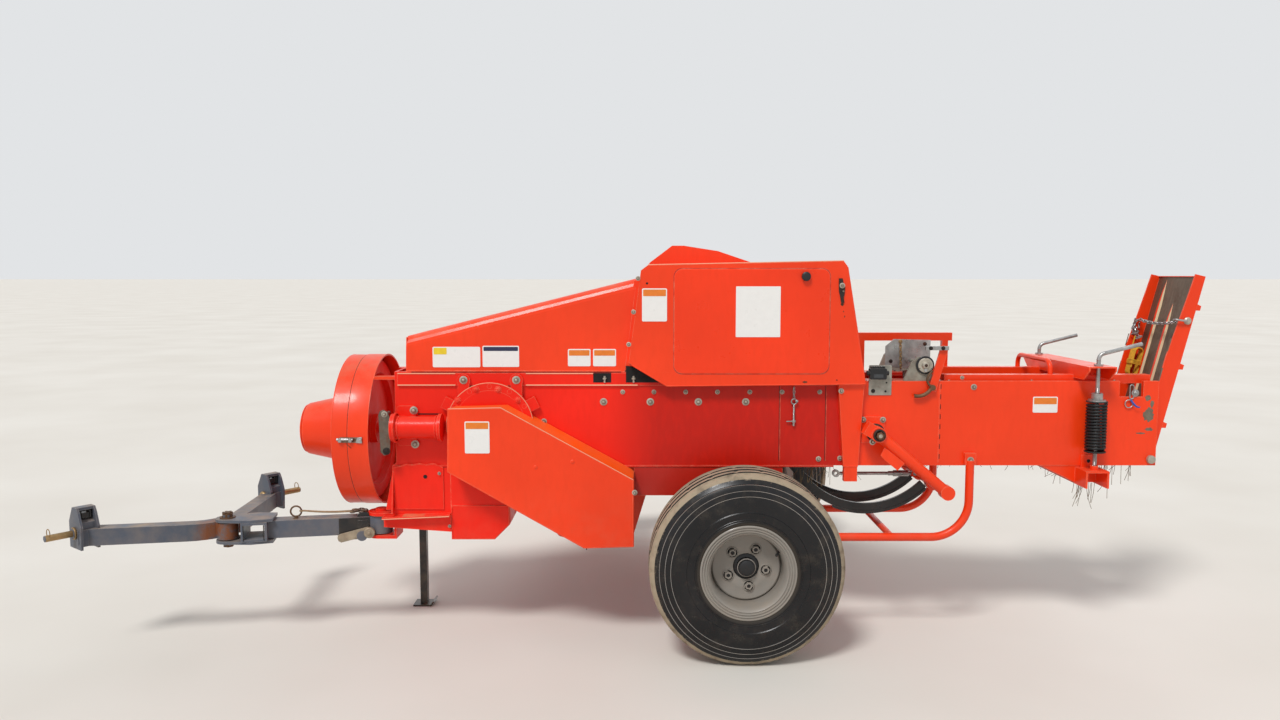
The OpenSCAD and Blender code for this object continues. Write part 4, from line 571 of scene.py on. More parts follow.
def seen(u, v, y):
    """The place, in millimetres, of what the photograph shows at a pixel when it lies at depth y."""
    s = FOCAL_PX / (y - EYE_Y)
    return (u - PHOTO_W / 2) / s + EYE_X, y, EYE_Z - (v - HORIZON) / s


def span(u0, v0, u1, v1, y):
    """Limits in X and in Z of what lies between two pixels, upper left and lower right, at depth y."""
    x0, _, z1 = seen(u0, v0, y)
    x1, _, z0 = seen(u1, v1, y)
    return (x0, x1), (z0, z1)


def bolt_circle(group, centre, radius, angles, axis, r, h=7):
    """Bolts on a circle round a place, in an upright plane along the machine."""
    x, y, z = centre
    for degrees in angles:
        dx, dz = around(radius, degrees)
        group.bolt((x + dx, y, z + dz), axis, r, h)


def bead(group, a, b, r=3.2, step=7):
    """A weld bead: a line of small overlapping ripples."""
    a, b = Vector(a), Vector(b)
    n = max(2, int((b - a).length / step))
    profile = []
    for k in range(n + 1):
        for f, q in ((0.0, 0.72), (0.5, 1.0)):
            profile.append((r * q * rnd.uniform(0.92, 1.08), (k + f) * (b - a).length / (n + 1)))
    group.lathe(a, b - a, profile, 8)


def patch(group, place, wide, high, points=14):
    """A thin ragged patch on a left side, where the paint is worn or rusty."""
    x, y, z = place
    outline = []
    for k in range(points):
        t, q = 2 * math.pi * k / points, rnd.uniform(0.62, 1.0)
        outline.append((x + wide / 2 * q * math.cos(t), z + high / 2 * q * math.sin(t)))
    group.plate(outline, y, y - 0.35)


# Depths of the left side's faces, in millimetres
LEFT_Y = -WALL_Y
BOX_Y = -300  # twine box
DOOR_Y = -304.3  # its door
GUARD_Y = -380  # belt guard
COVER_Y = -290  # gearbox cover
HOUSING_Y = -258  # lower housing

plates = Group("plates_white", WHITE, 0.3)
navy = Group("plates_navy", NAVY)
amber = Group("plates_amber", AMBER)
yellow = Group("plates_yellow", YELLOW)
trim = Group("trim_orange", ORANGE, 0.7)
trim_case = Group("trim_case", CASE, 0.7)
bolts = Group("bolts_zinc", (BOLT, BOLT_HEAD))
bolts_dark = Group("bolts_dark", IRON)
bolts_paint = Group("bolts_painted", CASE)
seams_and_shade = Group("seams_and_shade", (DARK_GAP_AND_SHADE, RED))
fit = Group("fittings_zinc", ZINC, 0.5)
worn = Group("worn_patches", WORN)
rust = Group("rust_patches", RUST)
pale = Group("pale_edges", PALE_HIGHLIGHT_AND_DUST)

# Bolts on the left side: group, depth, radius, pixels in the photograph
for group, y, r, pixels in (
    (bolts, -262, 12, ((411.8, 410.7), (412.5, 445.2))),
    (bolts_paint, COVER_Y, 10, ((456.3, 400.4), (474.9, 389.4), (497, 389.4), (516.7, 400.4))),
    (bolts, -271, 12, ((462.4, 379.9), (515.5, 379.9))),
    (bolts, LEFT_Y, 9, ((543, 422),)),
    (bolts, GUARD_Y, 8, ((634.6, 495),)),
    (bolts, HOUSING_Y, 5, ((436.3, 475.2), (445.8, 529.8))),
    (bolts, BOX_Y, 7, ((638, 278), (633.5, 311.5), (628.7, 344))),
    (bolts, LEFT_Y, 8, ((820.8, 460.3), (842.6, 459.6))),
    (bolts, -282, 8, ((842.6, 391),)),
    (bolts, LEFT_Y, 9, ((976, 387), (974.4, 461.8))),
    (bolts, LEFT_Y, 6, ((964, 377.5),)),
    (bolts, LEFT_Y, 11, ((603.3, 402), (650.4, 402), (698.8, 402), (746.5, 402))),
):
    for u, v in pixels:
        group.bolt(seen(u, v, y), FRONT, r)
for u in (622.6, 654, 686, 718, 750.6, 783, 821):
    bolts.bolt(seen(u, 392, LEFT_Y), FRONT, 7, 6)
# Bolts of the chamber's right side and top, and of the twine box's right side
for x in (480, 700, 920, 1140, 1360, 1580, 1780):
    for z in (860, 1140):
        bolts.bolt((x, WALL_Y, z), BACK, 8)
for x in range(580, 1721, 380):
    for y in (-215, 215):
        bolts.bolt((x, y, 1190), UP, 7, 5)
for z in range(1300, 1661, 120):
    bolts.bolt((-440 + (z - 1300) * 0.02, 300, z), BACK, 7, 5)
    bolts.bolt((470, 300, min(z, 1640)), BACK, 7, 5)
# Lower bolts of the gearbox cover
COVER_X, COVER_Z = -1140, 996
bolt_circle(bolts_paint, (COVER_X, COVER_Y, COVER_Z), 181, (205, 245, 270, 295, 335), FRONT, 9)
for x in (560, 650):
    bolts.bolt((x, -258, 1020), FRONT, 9)
bolts.bolt((1050, -275, 836), FRONT, 10)
for u, v, y, r in ((422, 478.6, -258.2, 9), (647, 283, -300.3, 5), (838, 380, -300.4, 3)):
    seams_and_shade.disc(seen(u, v, y), FRONT, r)

# Blank plates: corners in the photograph, depth, and the band along the top with its share of the height
for *corners, y, group, share in (
    (431.9, 346.4, 479.7, 367, LEFT_Y, None, 0), (482, 345.4, 518.7, 366.7, LEFT_Y, navy, 0.19),
    (567.6, 348.6, 590.4, 366, LEFT_Y, amber, 0.32), (592.9, 348.6, 616, 366, LEFT_Y, amber, 0.32),
    (642, 288, 667, 321, BOX_Y, amber, 0.2), (462.7, 422, 487.8, 454.7, GUARD_Y, amber, 0.2),
    (1036, 396.8, 1061, 413, LEFT_Y, amber, 0.4),
):
    x, z = span(*corners, y)
    plates.plate(rounded(x, z, 6), y, y - 1.2)
    if group:
        top = z[1] - 5
        band = (top - share * (z[1] - z[0]), top)
        group.plate(rounded((x[0] + 5, x[1] - 5), band, 3), y - 1.2, y - 1.8)
yellow.plate(rounded(*span(433, 347.4, 446, 354, -251), 3), -251.2, -251.8)

# Crank case: pale lips of the upper rail, painted highlights on its edges, and the folded seam along the
# bottom
for x in ((-1562, -1299), (-978, -470)):
    pale.box(x, (-261, -256), (1177, 1182))
for x in ((-1562, -1299), (-978, -672)):
    pale.box(x, (-259.5, -256), (1230, 1234.5))
trim_case.on_wall((-1330, 430), (800, 807), 3.5)

# Panel seams: thin gaps with a folded lip beside them, and weld beads
for u in (780.5, 827):
    x, _, z1 = seen(u, 386, LEFT_Y)
    seams_and_shade.on_wall((x - 1.2, x + 1.2), (830, z1), 0.5)
    trim_case.on_wall((x + 1.2, x + 6), (830, z1), 1.6)
seams_and_shade.on_wall((-1560, -1330), (798, 800), 0.6)
x = seen(943, 400, LEFT_Y)[0]
for z in range(1160, 837, -46):
    seams_and_shade.on_wall((x - 1.6, x + 1.6), (z, z + 22), 0.5)
trim.on_wall((x - 8, x - 2), (822, 1186), 1.2)
bead(trim_case, (-1325, -259, 470), (-1325, -259, 620))
bead(trim_case, (-1596, -251, 530), (-1596, -251, 800))
bead(trim, (468, -282.5, 809), (535, -282.5, 809), 3)
bead(trim, (441, -282.5, 1184), (556, -282.5, 1184), 3)
# Openings in the upper rail under the hood, each with a bolt behind it
for outline, x in (
    ([(-672, 1191), (-590, 1191), (-590, 1234), (-672, 1234)], -620),
    ([(-523, 1191), (-350, 1191), (-350, 1222), (-508, 1266), (-523, 1266)], -488),
):
    seams_and_shade.plate(outline, -257.6, -249.5)
    bolts.lathe((x, -260, 1191), UP, [(4.5, 0), (4.5, 14), (9, 15), (9, 22), (5, 23), (5, 30)], 10)
# Front plate with its ragged, welded top edge and the gusset beside it
top = [
    (-1590, 800), (-1560, 806), (-1530, 815), (-1500, 812), (-1470, 818), (-1440, 812), (-1405, 818),
    (-1375, 806), (-1362, 800),
]
trim_case.plate([(-1588, 604), (-1362, 604)] + top[::-1], -250, -257)
for (x0, z0), (x1, z1) in zip(top, top[1:]):
    bead(trim_case, (x0, -256, z0), (x1, -256, z1), 3.4)
trim_case.rings([
    [(-1596, -292, 590), (-1590, -292, 590), (-1590, -257, 780), (-1596, -257, 780)],
    [(-1596, -250, 590), (-1590, -250, 590), (-1590, -250, 780), (-1596, -250, 780)],
])
# Folded top strip of the tongue's bracket, dusty on its edge
dusty = Group("bracket_edges", DUSTY, 0.5)
dusty.box((-1545, -1332), (-292, -250), (578.2, 581))
pale.rod((-1332, -291, 578), (-1640, -291, 564.5), 2.6, sides=8)

# Rim of the gearbox cover, flush with its face, and its pale edge, a painted highlight
rim = [(150, 0.2), (195, 0.2), (197, 1.8), (197, 6), (150, 6)]
trim_case.lathe((COVER_X, COVER_Y, COVER_Z), BACK, rim, 96, closed=True)
pale.torus((COVER_X, COVER_Y + 1, COVER_Z), BACK, 196.6, 1.6, 96)

# Drive tube: collar rings, and dark strips behind its lugs that are painted shade
TUBE_Y, TUBE_Z = -312, 993
for x in (-1560, -1548, -1380):
    trim_case.lathe((x, TUBE_Y, TUBE_Z), REAR, [(49, 0), (54, 1), (54, 5), (49, 6)], 40, closed=True)
for z in (1043, 938):
    seams_and_shade.on_wall((-1474, -1372), (z, z + 5), 1.2)
trim_case.lathe((-1566, TUBE_Y, TUBE_Z), REAR, [(62, 0), (68, 2), (68, 9), (62, 11)], 48, closed=True)

# Belt guard: folded edges
GUARD = [(-1316, 804), (-710, 458), (-490, 464), (-490, 766), (-1077, 1090), (-1310, 1085)]
FOLD = 4.2
trim.rail([(x, GUARD_Y + FOLD, z) for x, z in GUARD], FOLD, 14, closed=True)
ball = [(FOLD * math.cos(t), FOLD * math.sin(t)) for t in (-1.4, -0.9, -0.3, 0.3, 0.9, 1.4)]
for x, z in GUARD:
    trim.lathe((x, GUARD_Y + FOLD, z), UP, ball, 14)
# Pale line along the guard's top edges: a painted highlight
pale.rail([(x, GUARD_Y + 1.4, z + 2) for x, z in GUARD[3:]], 1.8, 8)
# Its top flange reaches back to the case: front and rear edge at each corner. Its brighter orange is painted
# sunlight.
FLANGE = (
    ((-490, 766), (-486, 780)), ((-502, 772.6), (-502, 793.5)), ((-1077, 1089.6), (-1050, 1095)),
    ((-1300, 1085), (-1292, 1088)),
)
flange = Group("belt_guard_flange", FLANGE_SUNLIT_ORANGE, 0.7)
flange.rings([
    [(a, GUARD_Y + 1, b), (c, -252, d), (c, -252, d - 3), (a, GUARD_Y + 1, b - 3)]
    for (a, b), (c, d) in FLANGE
])
for x, z in ((-760, 850), (-925, 825)):
    trim.lathe((x, GUARD_Y + 1, z), FRONT, [(9, 0), (9, 2.5), (7, 4)], 20)

# Flywheel guard: overlapping rear shell, rolled rims, toggle latch and lever plate
DRUM_X0, DRUM_X1, DRUM_Z = -1842, -1675, 940
shell = [
    (356.8, -93), (359.2, -91.5), (359.2, -6), (360.5, -3), (360.5, 0), (354, 0), (353.5, -8), (355, -91),
]
trim.lathe((DRUM_X1, 0, DRUM_Z), REAR, shell, 128, closed=True)
lap = [(356.9, 0), (357.7, 0), (357.7, 1.6), (356.9, 1.6)]
seams_and_shade.lathe((DRUM_X1 - 94.5, 0, DRUM_Z), REAR, lap, 128, closed=True)
trim.torus((DRUM_X0, 0, DRUM_Z), REAR, 354.5, 3.5, 128, 10, 3)
worn.box((-1800, -1700), (-361, -356), (932, 956))
fit.rod((-1812, -366, 947), (-1740, -366, 947), 7, 5)
fit.plate([(-1728, 932), (-1700, 930), (-1700, 958), (-1720, 956)], -360.5, -366)
patch(rust, (-1742, -361, 944), 34, 18)
fit.lathe((-1706, -367, 944), FRONT, [(6, 0), (6, 3), (4, 4)], 14)
for x in (-1798, -1752):
    fit.disc((x, -366, 935), UP, 9, 18, 12)
bead(rust, (-1770, -359.5, 926), (-1748, -360.5, 905), 1.6)
LEVER = [
    (-1634, 1052), (-1627, 1070), (-1610, 1076), (-1592, 1064), (-1582, 1040), (-1584, 900), (-1592, 874),
    (-1612, 867), (-1628, 884),
]
LEVER_Y = -330
lever = Group("lever_plate", STEEL, 0.8)
lever.plate(LEVER, LEVER_Y, -323)
lever.rod((-1606, -323, 1052), (-1606, -250, 1052), 8)
bolts.bolt((-1606, LEVER_Y, 1056), FRONT, 9)
bolts_dark.bolt((-1600, LEVER_Y, 888), FRONT, 11)
# Lip of the cone in front
trim.torus((DRUM_X0 - 228, 0, DRUM_Z), REAR, 113, 2.6, 64, along=6)

# Hood: sealing strips between the hood and the twine box, folded lower lip
STRIP = [(-545, 1246), (-500, 1246), (-446, 1655), (-486, 1655)]
trim.plate(STRIP, -246, -249)
trim.plate(STRIP, 246, 249)
trim.on_wall((-1518, -545), (1240, 1246), 1.2)
seams_and_shade.on_wall((-1500, -545), (1236.5, 1239.5), 0.9)

# Twine box: door, knob, edges and rust
DOOR_X, DOOR_Z = (-306, 390), (1236, 1706)


def door_ring(inset, y, r=38):
    """The door's outline, moved inwards, at depth y."""
    x, z = ((lo + inset, hi - inset) for lo, hi in (DOOR_X, DOOR_Z))
    return [(a, y, b) for a, b in rounded(x, z, r, 8)]


door = Group("door_panel", DOOR, body="door", replaces=("twine_door",))
face = (4, -300.4, 34), (0.4, -300.8, 37), (0, -302.4), (1.2, -303.9, 37), (3.4, DOOR_Y, 35), (12, DOOR_Y, 30)
door.rings([door_ring(*place) for place in face])
knob = Group("door_knob", PLASTIC, body="door")
knob_shape = [(10, 0), (10, 8), (19, 10), (21, 14), (20, 19), (16, 21.5), (6, 22)]
knob.lathe((280, -304, 1672), FRONT, knob_shape, 28)
door_plate = Group("door_plate", WHITE, 0.3, "door")
door_plate.plate(rounded(*span(735.8, 286, 780.4, 336.7, DOOR_Y), 3), DOOR_Y + 0.1, DOOR_Y - 1.2)
seams_and_shade.use = 1
gap = (-3.4, -300.5), (-0.2, -300.5), (-0.2, -299), (-3.4, -299)
seams_and_shade.rings([door_ring(*place) for place in gap], closed=True)
seams_and_shade.use = 0
# Pale line along the box's top edge: a painted highlight
pale.rod((-424, -297, 1723.5), (450, -297, 1741.5), 2.4, sides=8)
for u, v, wide, high in ((806, 382, 26, 12), (842, 304, 16, 18), (843.4, 311, 7, 8), (844.6, 316, 6, 10)):
    patch(rust, seen(u, v, BOX_Y), wide, high)
# Catch beside the door
x, _, z = seen(841.3, 291, BOX_Y)
catch = [
    (-14, 58), (2, 58), (8, 30), (14, 20), (12, -12), (8, -28), (12, -50), (-2, -54), (-8, -20), (-13, 0),
    (-14, 30),
]
bolts_dark.plate([(x + a, z + b) for a, b in catch[::-1]], BOX_Y, BOX_Y - 5)
bolts.bolt((x + 1, BOX_Y - 5, z + 26), FRONT, 8, 6, stub=False)
bolts.bolt((x + 6, BOX_Y - 5, z + 1), FRONT, 4.5, 3, washer=False, stub=False)
trim.rail([(x, -298, z) for x, z in ((-498, 1276), (-338, 1180), (557, 1189), (467, 1714))], 3.4, 10)

# Turnbuckle on a short chain, hanging on the case
x, _, z = seen(795, 387, -256)
fit.chain([(x, -260, z), (x, -260, z - 56)], 22, 13, 3.4)
fit.torus((x, -262, z - 66), FRONT, 12, 3.2)
fit.lathe((x + 12, -264, z - 64), FRONT, [(4, -3), (7, -1), (7, 4), (4, 6)], 12)
thread = [(3.4, 0)]
for k in range(18):
    thread += [(3.9, 1 + 4 * k), (5.2, 3 + 4 * k)]
fit.lathe((x, -260, z - 78), DOWN, thread + [(3.4, 75)], 12)
fit.lathe((x, -260, z - 150), DOWN, [(4, 0), (8, 2), (8, 12), (5, 14), (5, 28), (3, 30)], 14)
fit.rod((x - 34, -260, z - 158), (x + 10, -260, z - 156), 3, sides=10)

# Counter: grey plate with holes, black body with its window
COUNTER_Y = -254
plate = Group("counter_plate", GREY_PLATE, 0.6, replaces=("bale_counter",))
plate.plate(rounded((583, 687), (1132, 1270), 5), -250.4, COUNTER_Y)
body = Group("counter_body", BLACK, 1.2)
body.plate(rounded((580, 656), (1208, 1258), 7), COUNTER_Y, -290)
body.rod((568, -274, 1236), (668, -274, 1236), 11, sides=20)
for x in range(586, 642, 11):
    body.box((x, x + 8), (-286, -262), (1256, 1267))
glass = Group("counter_window", GLASS, 0.3)
glass.plate(rounded((596, 640), (1216, 1232), 3), -290, -291)
for x, z, r in ((603, 1152, 9), (660, 1150, 5), (664, 1190, 4)):
    seams_and_shade.disc((x, COUNTER_Y - 0.1, z), FRONT, r, sides=18)
bolts_dark.bolt((603, COUNTER_Y, 1152), FRONT, 6, 4)

# Measuring wheel: bearing and hub
MEASURE_X, MEASURE_Z = 838, 1270
bearing = Group("measure_bearing", BLACK, 0.5)
ring = [(28, -7), (41, -7), (41.5, -6), (41.5, 0), (40, 1), (29, 1), (28, 0)]
bearing.lathe((MEASURE_X, -254, MEASURE_Z), FRONT, ring, 40, closed=True)
for x, z in ((838, 1302), (812, 1256), (864, 1256)):
    bolts_dark.bolt((x, -254.5, z), FRONT, 5, 3, washer=False)
hub = [(33.2, -1), (33.2, 0.6), (30, 2), (26, 2), (25, 0.2), (19, 0.2), (18, 3), (13, 9), (8, 10)]
bolts.lathe((MEASURE_X, -260, MEASURE_Z), FRONT, hub)
bolts_dark.lathe((MEASURE_X, -269, MEASURE_Z), FRONT, [(7, 0), (7, 4), (5, 5)], 16)
fit.box((831, 845), (-266, -259.6), (1240, 1256))
# Bright sheet behind it, and the trip arm's bar and hook
SHEET = [(708, 1251), (767, 1239), (858, 1235), (923, 1261), (923, 1371), (747, 1375), (708, 1341)]
SHEET_Y = -47.4
fit.plate(SHEET, -46.3, SHEET_Y)
for x, z in ((735, 1270), (896, 1275), (896, 1352)):
    bolts_dark.bolt((x, SHEET_Y, z), FRONT, 6, 4)
BAR_Y = -272.8
fit.box((833.5, 938.5), (BAR_Y, -258.8), (1339.5, 1357.5))
for x in (856, 912):
    bolts_dark.bolt((x, BAR_Y, 1348.5), FRONT, 6, 4)
hook = []
for degrees in range(-105, -26, 6):
    dx, dz = around(68, degrees)
    hook.append((804 + dx, -268.3, 1198 + dz))
trip_hook = Group("trip_hook", BROWN)
trip_hook.sweep(hook, 8.5, 12)
trip_hook.rod((870, -277, 1169), (870, -258, 1169), 12.5, sides=20)
spring = [(868, -266, 1246), (852, -268, 1226), (844, -269, 1204), (852, -270, 1184), (868, -270, 1169)]
trip_hook.sweep(smooth(spring), 5.5, 10)
brass = Group("sheet_chain", BRASS)
brass.chain([(779, -52, 1362), (782, -52, 1238)], 22, 13, 3.8)
brass.bolt((779, SHEET_Y, 1364), FRONT, 6, 4)

# Yoke's clamp with its nut, gusset under its arm, and its bearing's ring
YOKE_X, YOKE_Y, YOKE_Z = 610, -370, 965
clamp = Group("yoke_clamp", IRON, 0.6, "yoke")
clamp.lathe((YOKE_X, YOKE_Y, YOKE_Z), FRONT, [(26, -14), (28, -12), (28, -3), (25, 0), (1, 0)])
nut = Group("yoke_nut", (BOLT, BROWN), body="yoke", slot="steel_bare")
nut.bolt((YOKE_X, YOKE_Y, YOKE_Z), FRONT, 18, 12, washer=False)
nut.bolt((585, -338, 932), FRONT, 9, 8)
gusset = Group("yoke_gusset", ORANGE, 0.8, "yoke")
gusset.plate([(638, 908), (730, 836), (699, 802), (640, 850), (622, 870)], -346, -338)
bolts_dark.lathe((YOKE_X, -284, YOKE_Z), FRONT, [(38, -0.5), (42, 1), (42, 5), (38, 7), (24, 7)], 40)

# Springs as round wire, with washers and threads
SPRING_X, SPRING_Y, SPRING_Z = 1595, -318, (894, 1102)
SPRING_R, COILS, COIL_STEPS = 39.2, 15, 28
springs = Group("springs", SPRING, replaces=("tension_springs",))
gear = Group("tension_fittings", ZINC, 0.4)
for y in (SPRING_Y, -SPRING_Y):
    line = []
    for k in range(COILS * COIL_STEPS + 1):
        a, t = 2 * math.pi * k / COIL_STEPS, k / (COILS * COIL_STEPS)
        z = SPRING_Z[0] + (SPRING_Z[1] - SPRING_Z[0]) * t
        line.append((SPRING_X + SPRING_R * math.cos(a), y + SPRING_R * math.sin(a), z))
    springs.sweep(line, 6.1, 10)
    seat = [(9.5, 0), (44, 0), (45.5, 1.5), (45.5, 4.5), (44, 6), (9.5, 6)]
    for z in (882, 1108):
        springs.lathe((SPRING_X, y, z), UP, seat, 40, closed=True)
    gear.lathe((SPRING_X, y, 1114), UP, [(39.5, -0.5), (39.5, 1.5), (36, 3)], 36)
    gear.lathe((SPRING_X, y, 1146), UP, [(25, -2), (25, 2), (21, 5), (11, 5)], 28)
    for z0, z1 in ((1152, 1176), (822, 880)):
        thread = [(8.0, z0)]
        for z in range(z0, z1 - 3, 4):
            thread += [(9.1, z + 0.5), (10.3, z + 2.5)]
        gear.lathe((SPRING_X, y, 0), UP, thread + [(8.0, thread[-1][1] + 1)], 16)
seams_and_shade.disc((SPRING_X, -262.1, 830), FRONT, 8)

# Hay caught under the chamber and the lower beam: middle, count, greatest length, spread
HAY_END = 1810  # clear of the chute, which swings down behind
hay = Group("hay_wisps", HAY)
for cx, cy, cz, count, drop, spread in (
    (1700, -236, 820, 30, 110, 90), (1600, -250, 722, 16, 120, 50), (1300, -240, 820, 10, 40, 120),
    (1640, 60, 722, 16, 70, 40), (900, -240, 818, 8, 36, 60), (1780, 100, 818, 14, 60, 40),
    (400, -225, 806, 30, 110, 60),
):
    for _ in range(count):
        x = min(cx + rnd.gauss(0, spread), HAY_END - 3 * rnd.random())
        y = cy + abs(rnd.gauss(0, 20))
        long = drop * rnd.uniform(0.3, 1.0)
        dx, dy = rnd.gauss(-8, 18), rnd.gauss(0, 10)
        wisp = [(x, y, cz + 3), (x + dx * 0.3, y + dy * 0.3, cz - long * 0.5), (x + dx, y + dy, cz - long)]
        hay.sweep(smooth(wisp, 3), 1.0, 4)

# Worn paint and a shackle with its tag at the chamber's rear end
for u, v, wide, high in (
    (1153, 415, 64, 76), (1152, 398, 38, 32), (1154, 430, 44, 20), (1146, 434, 54, 9), (1157, 404, 22, 40),
):
    x, y, z = seen(u, v, LEFT_Y)
    patch(worn, (min(x, 1880), y, z), wide, high, 20)
fit.bolt((1800, -252, 1142), FRONT, 11)
fit.link((1782, -256, 1148), UP, REAR, 70, 24, 6)
fit.torus((1770, -258, 1094), FRONT, 18, 2.6)
tag = Group("tie_tag", BLUE)
curl = [(1776, -260, 1112), (1786, -266, 1096), (1800, -268, 1082), (1816, -266, 1078)]
tag.sweep(smooth(curl, 5), 5, flat=0.35)

# Wheels
TYRE_R = 422.5
NOTCH_W = 84  # half width inside the shoulders' notches
SIDE_SHAPE = [
    (204, 131), (206, 136), (214, 139.5), (236, 142), (262, 143.2), (290, 143), (312, 141.5), (334, 138.5),
    (352, 134.5), (368, 129), (382, 121), (392, 114),
]
RIM = [
    (204.5, 131), (206, 137), (206, 141), (203, 143.5), (199, 143.5), (197, 138), (193.5, 138), (192, 142.5),
    (188, 142), (186.5, 136.5), (183, 136.5), (181.5, 140.5), (178, 140), (176.5, 134), (173, 134),
    (171.5, 137), (167, 133), (160, 122), (157, 108), (155, 88), (154.5, 62), (154, 40), (153, 24),
    (149.5, 22), (148, 36), (143, 39), (130, 37.5), (112, 36), (100, 37.5), (88, 38.5), (74, 37), (64, 36),
    (57, 35), (56, 24), (66, 25), (100, 25), (128, 22), (146, 14), (156, 10), (158, -40), (160, -88),
    (163, -112), (172, -128), (186, -134), (198, -138), (203, -143), (206, -141), (206, -137),
    (204.5, -131), (190, -124), (178, -112), (173, -84), (170, -30), (170, 30), (173, 84), (178, 112),
    (190, 124),
]
CAP = [(55, 20), (55, 33), (50, 36), (42, 38), (39, 42), (38, 56), (33, 66), (24, 70), (8, 71), (1, 71)]


def side_width(r):
    """Half width of the tyre's side at radius r."""
    for (r0, w0), (r1, w1) in zip(SIDE_SHAPE, SIDE_SHAPE[1:]):
        if r <= r1:
            return w0 + (w1 - w0) * (r - r0) / (r1 - r0)
    return SIDE_SHAPE[-1][1]


def tyre_section():
    """Section of the tyre as (radius, distance from the middle), with lines on the sides and four grooves."""
    half = list(SIDE_SHAPE)
    for share, high in ((0.525, 1.4), (0.545, 1.4), (0.62, 1.0), (0.78, 1.9), (0.837, 2.4), (0.893, 2.2)):
        r = share * TYRE_R
        half += [(r - 2.6, side_width(r - 2.6)), (r - 1.2, side_width(r) + high)]
        half += [(r + 1.2, side_width(r) + high), (r + 2.6, side_width(r + 2.6))]
    half.sort()
    half += [(398, 111), (406, 106), (412, 100.5), (416.5, 93), (418.5, 85)]
    for outer, inner, r in ((84, 61, 420), (38, 15, 421.6)):
        half += [(r, outer), (r - 14, outer - 4), (r - 14, inner + 4), (r + 0.6, inner)]
    return half + [(422.4, 0)] + [(r, -w) for r, w in reversed(half)]


def strip_finish(a, b):
    """Which of the tyre's finishes lies between two points of its section."""
    (r0, w0), (r1, w1) = a, b
    if min(r0, r1) < 412 and abs(w0) < NOTCH_W and abs(w1) < NOTCH_W:
        return 2  # groove
    # Grey tops of the raised lines on the side: painted sheen
    if 2 < abs(r1 - r0) < 3 and 0.77 < r0 / TYRE_R < 0.9 and abs(w1 - w0) < 0.01:
        return 3  # raised line
    return 1 if min(r0, r1) < 398 else 0  # side or tread


for where, wx, wy, s in (("left", 0, -500, -1), ("right", 290, 1420, 1)):
    wheel = f"wheel_{where}"
    side = side_rubber(f"tyre_side_{where}", at(wx, wy, TYRE_R))
    tyre = Group(
        f"tyre_{where}_detailed", (TREAD, side, GROOVE, RAISED_SHEEN), body=wheel, sharp=34,
        replaces=(f"tyre_{where}",),
    )
    section = tyre_section()
    rings = []
    for k in range(216):
        a = 2 * math.pi * k / 216
        ring = []
        for r, w in section:
            if abs(w) > NOTCH_W and 400 < r < 420:
                r -= (4.5 if k % 6 in (0, 1) else 0) + 1.2 * math.sin(k * 2.39)
            elif r > 418 and abs(abs(w) - 50) < 18 and k % 9 == 4:
                r -= 3.0
            ring.append((wx + r * math.cos(a), wy + w, TYRE_R + r * math.sin(a)))
        rings.append(ring)
    tyre.rings(rings, True, [strip_finish(*pair) for pair in zip(section, section[1:] + section[:1])])

    out, middle = (0, s, 0), (wx, wy, TYRE_R)
    rim = Group(f"rim_{where}_detailed", SILVER, body=wheel, sharp=30, replaces=(f"rim_{where}",))
    rim.lathe(middle, out, RIM, 120, closed=True)
    nuts = Group(f"hub_{where}_detailed", DARK_NUT, body=wheel, replaces=(f"hub_{where}",))
    # Dark ring round each nut, in its seat: painted shade of the recess
    seat_shade = Group(f"seats_{where}", DARK_GAP_AND_SHADE, body=wheel)
    cap = Group(f"cap_{where}", (PLASTIC, RAISED_SHEEN), body=wheel)
    cap.lathe(middle, out, CAP, 48)
    # Grey ring round the cap: painted sheen
    cap.use = 1
    cap.lathe(middle, out, [(37, 53), (40.5, 54), (40.5, 58), (37, 60)], 40, closed=True)
    nuts.lathe(middle, out, [(82, -100), (82, -30), (100, -28), (100, 21), (60, 21), (54, 21), (1, 21)], 40)
    for k in range(5):
        dx, dz = around(86, 62 + 72 * k)
        lug = (wx + dx, wy + 37 * s, TYRE_R + dz)
        rim.lathe(lug, out, [(21, 0), (26, -2), (26, 2), (24, 4.5), (22, 4.5), (21, 2)], 28, closed=True)
        seat_shade.lathe(lug, out, [(21.5, -2), (21.5, 0.8), (14, 1)], 28)
        nut_shape = [(9, 0), (17.5, 0), (17.5, 10), (15, 14), (10.5, 14), (9, 12)]
        rim.lathe(lug, out, nut_shape, 6, closed=True, turn=17 * k)
        nuts.lathe(lug, out, [(9.4, 1), (9.4, 8), (7, 10)], 16)
    valve = Group(f"valve_{where}", PLASTIC, body=wheel)
    a = math.radians(33)
    foot = Vector((wx + 158 * math.cos(a), wy + 104 * s, TYRE_R + 158 * math.sin(a)))
    tip = foot + Vector((-14 * math.cos(a), 22 * s, -14 * math.sin(a)))
    valve.rod(foot, foot.lerp(tip, 0.5), 6.5, 4.6, 14)
    valve.rod(foot.lerp(tip, 0.45), tip, 4.2, 4.2, 12)
    valve.rod(tip, tip + (tip - foot).normalized() * 9, 6.4, 6.0, 14)

# Bale chute: sheet with side flanges and stiffeners, worn floor with painted ribs, chain across it
HINGE_X, HINGE_Z = 1883, 836
CHUTE_LEAN = math.radians(13.5)


def chute_at(x, y, z):
    """A place on the chute: x behind its hinge line, z up along it."""
    c, d = math.cos(CHUTE_LEAN), math.sin(CHUTE_LEAN)
    return HINGE_X + x * c + z * d, y, HINGE_Z - x * d + z * c


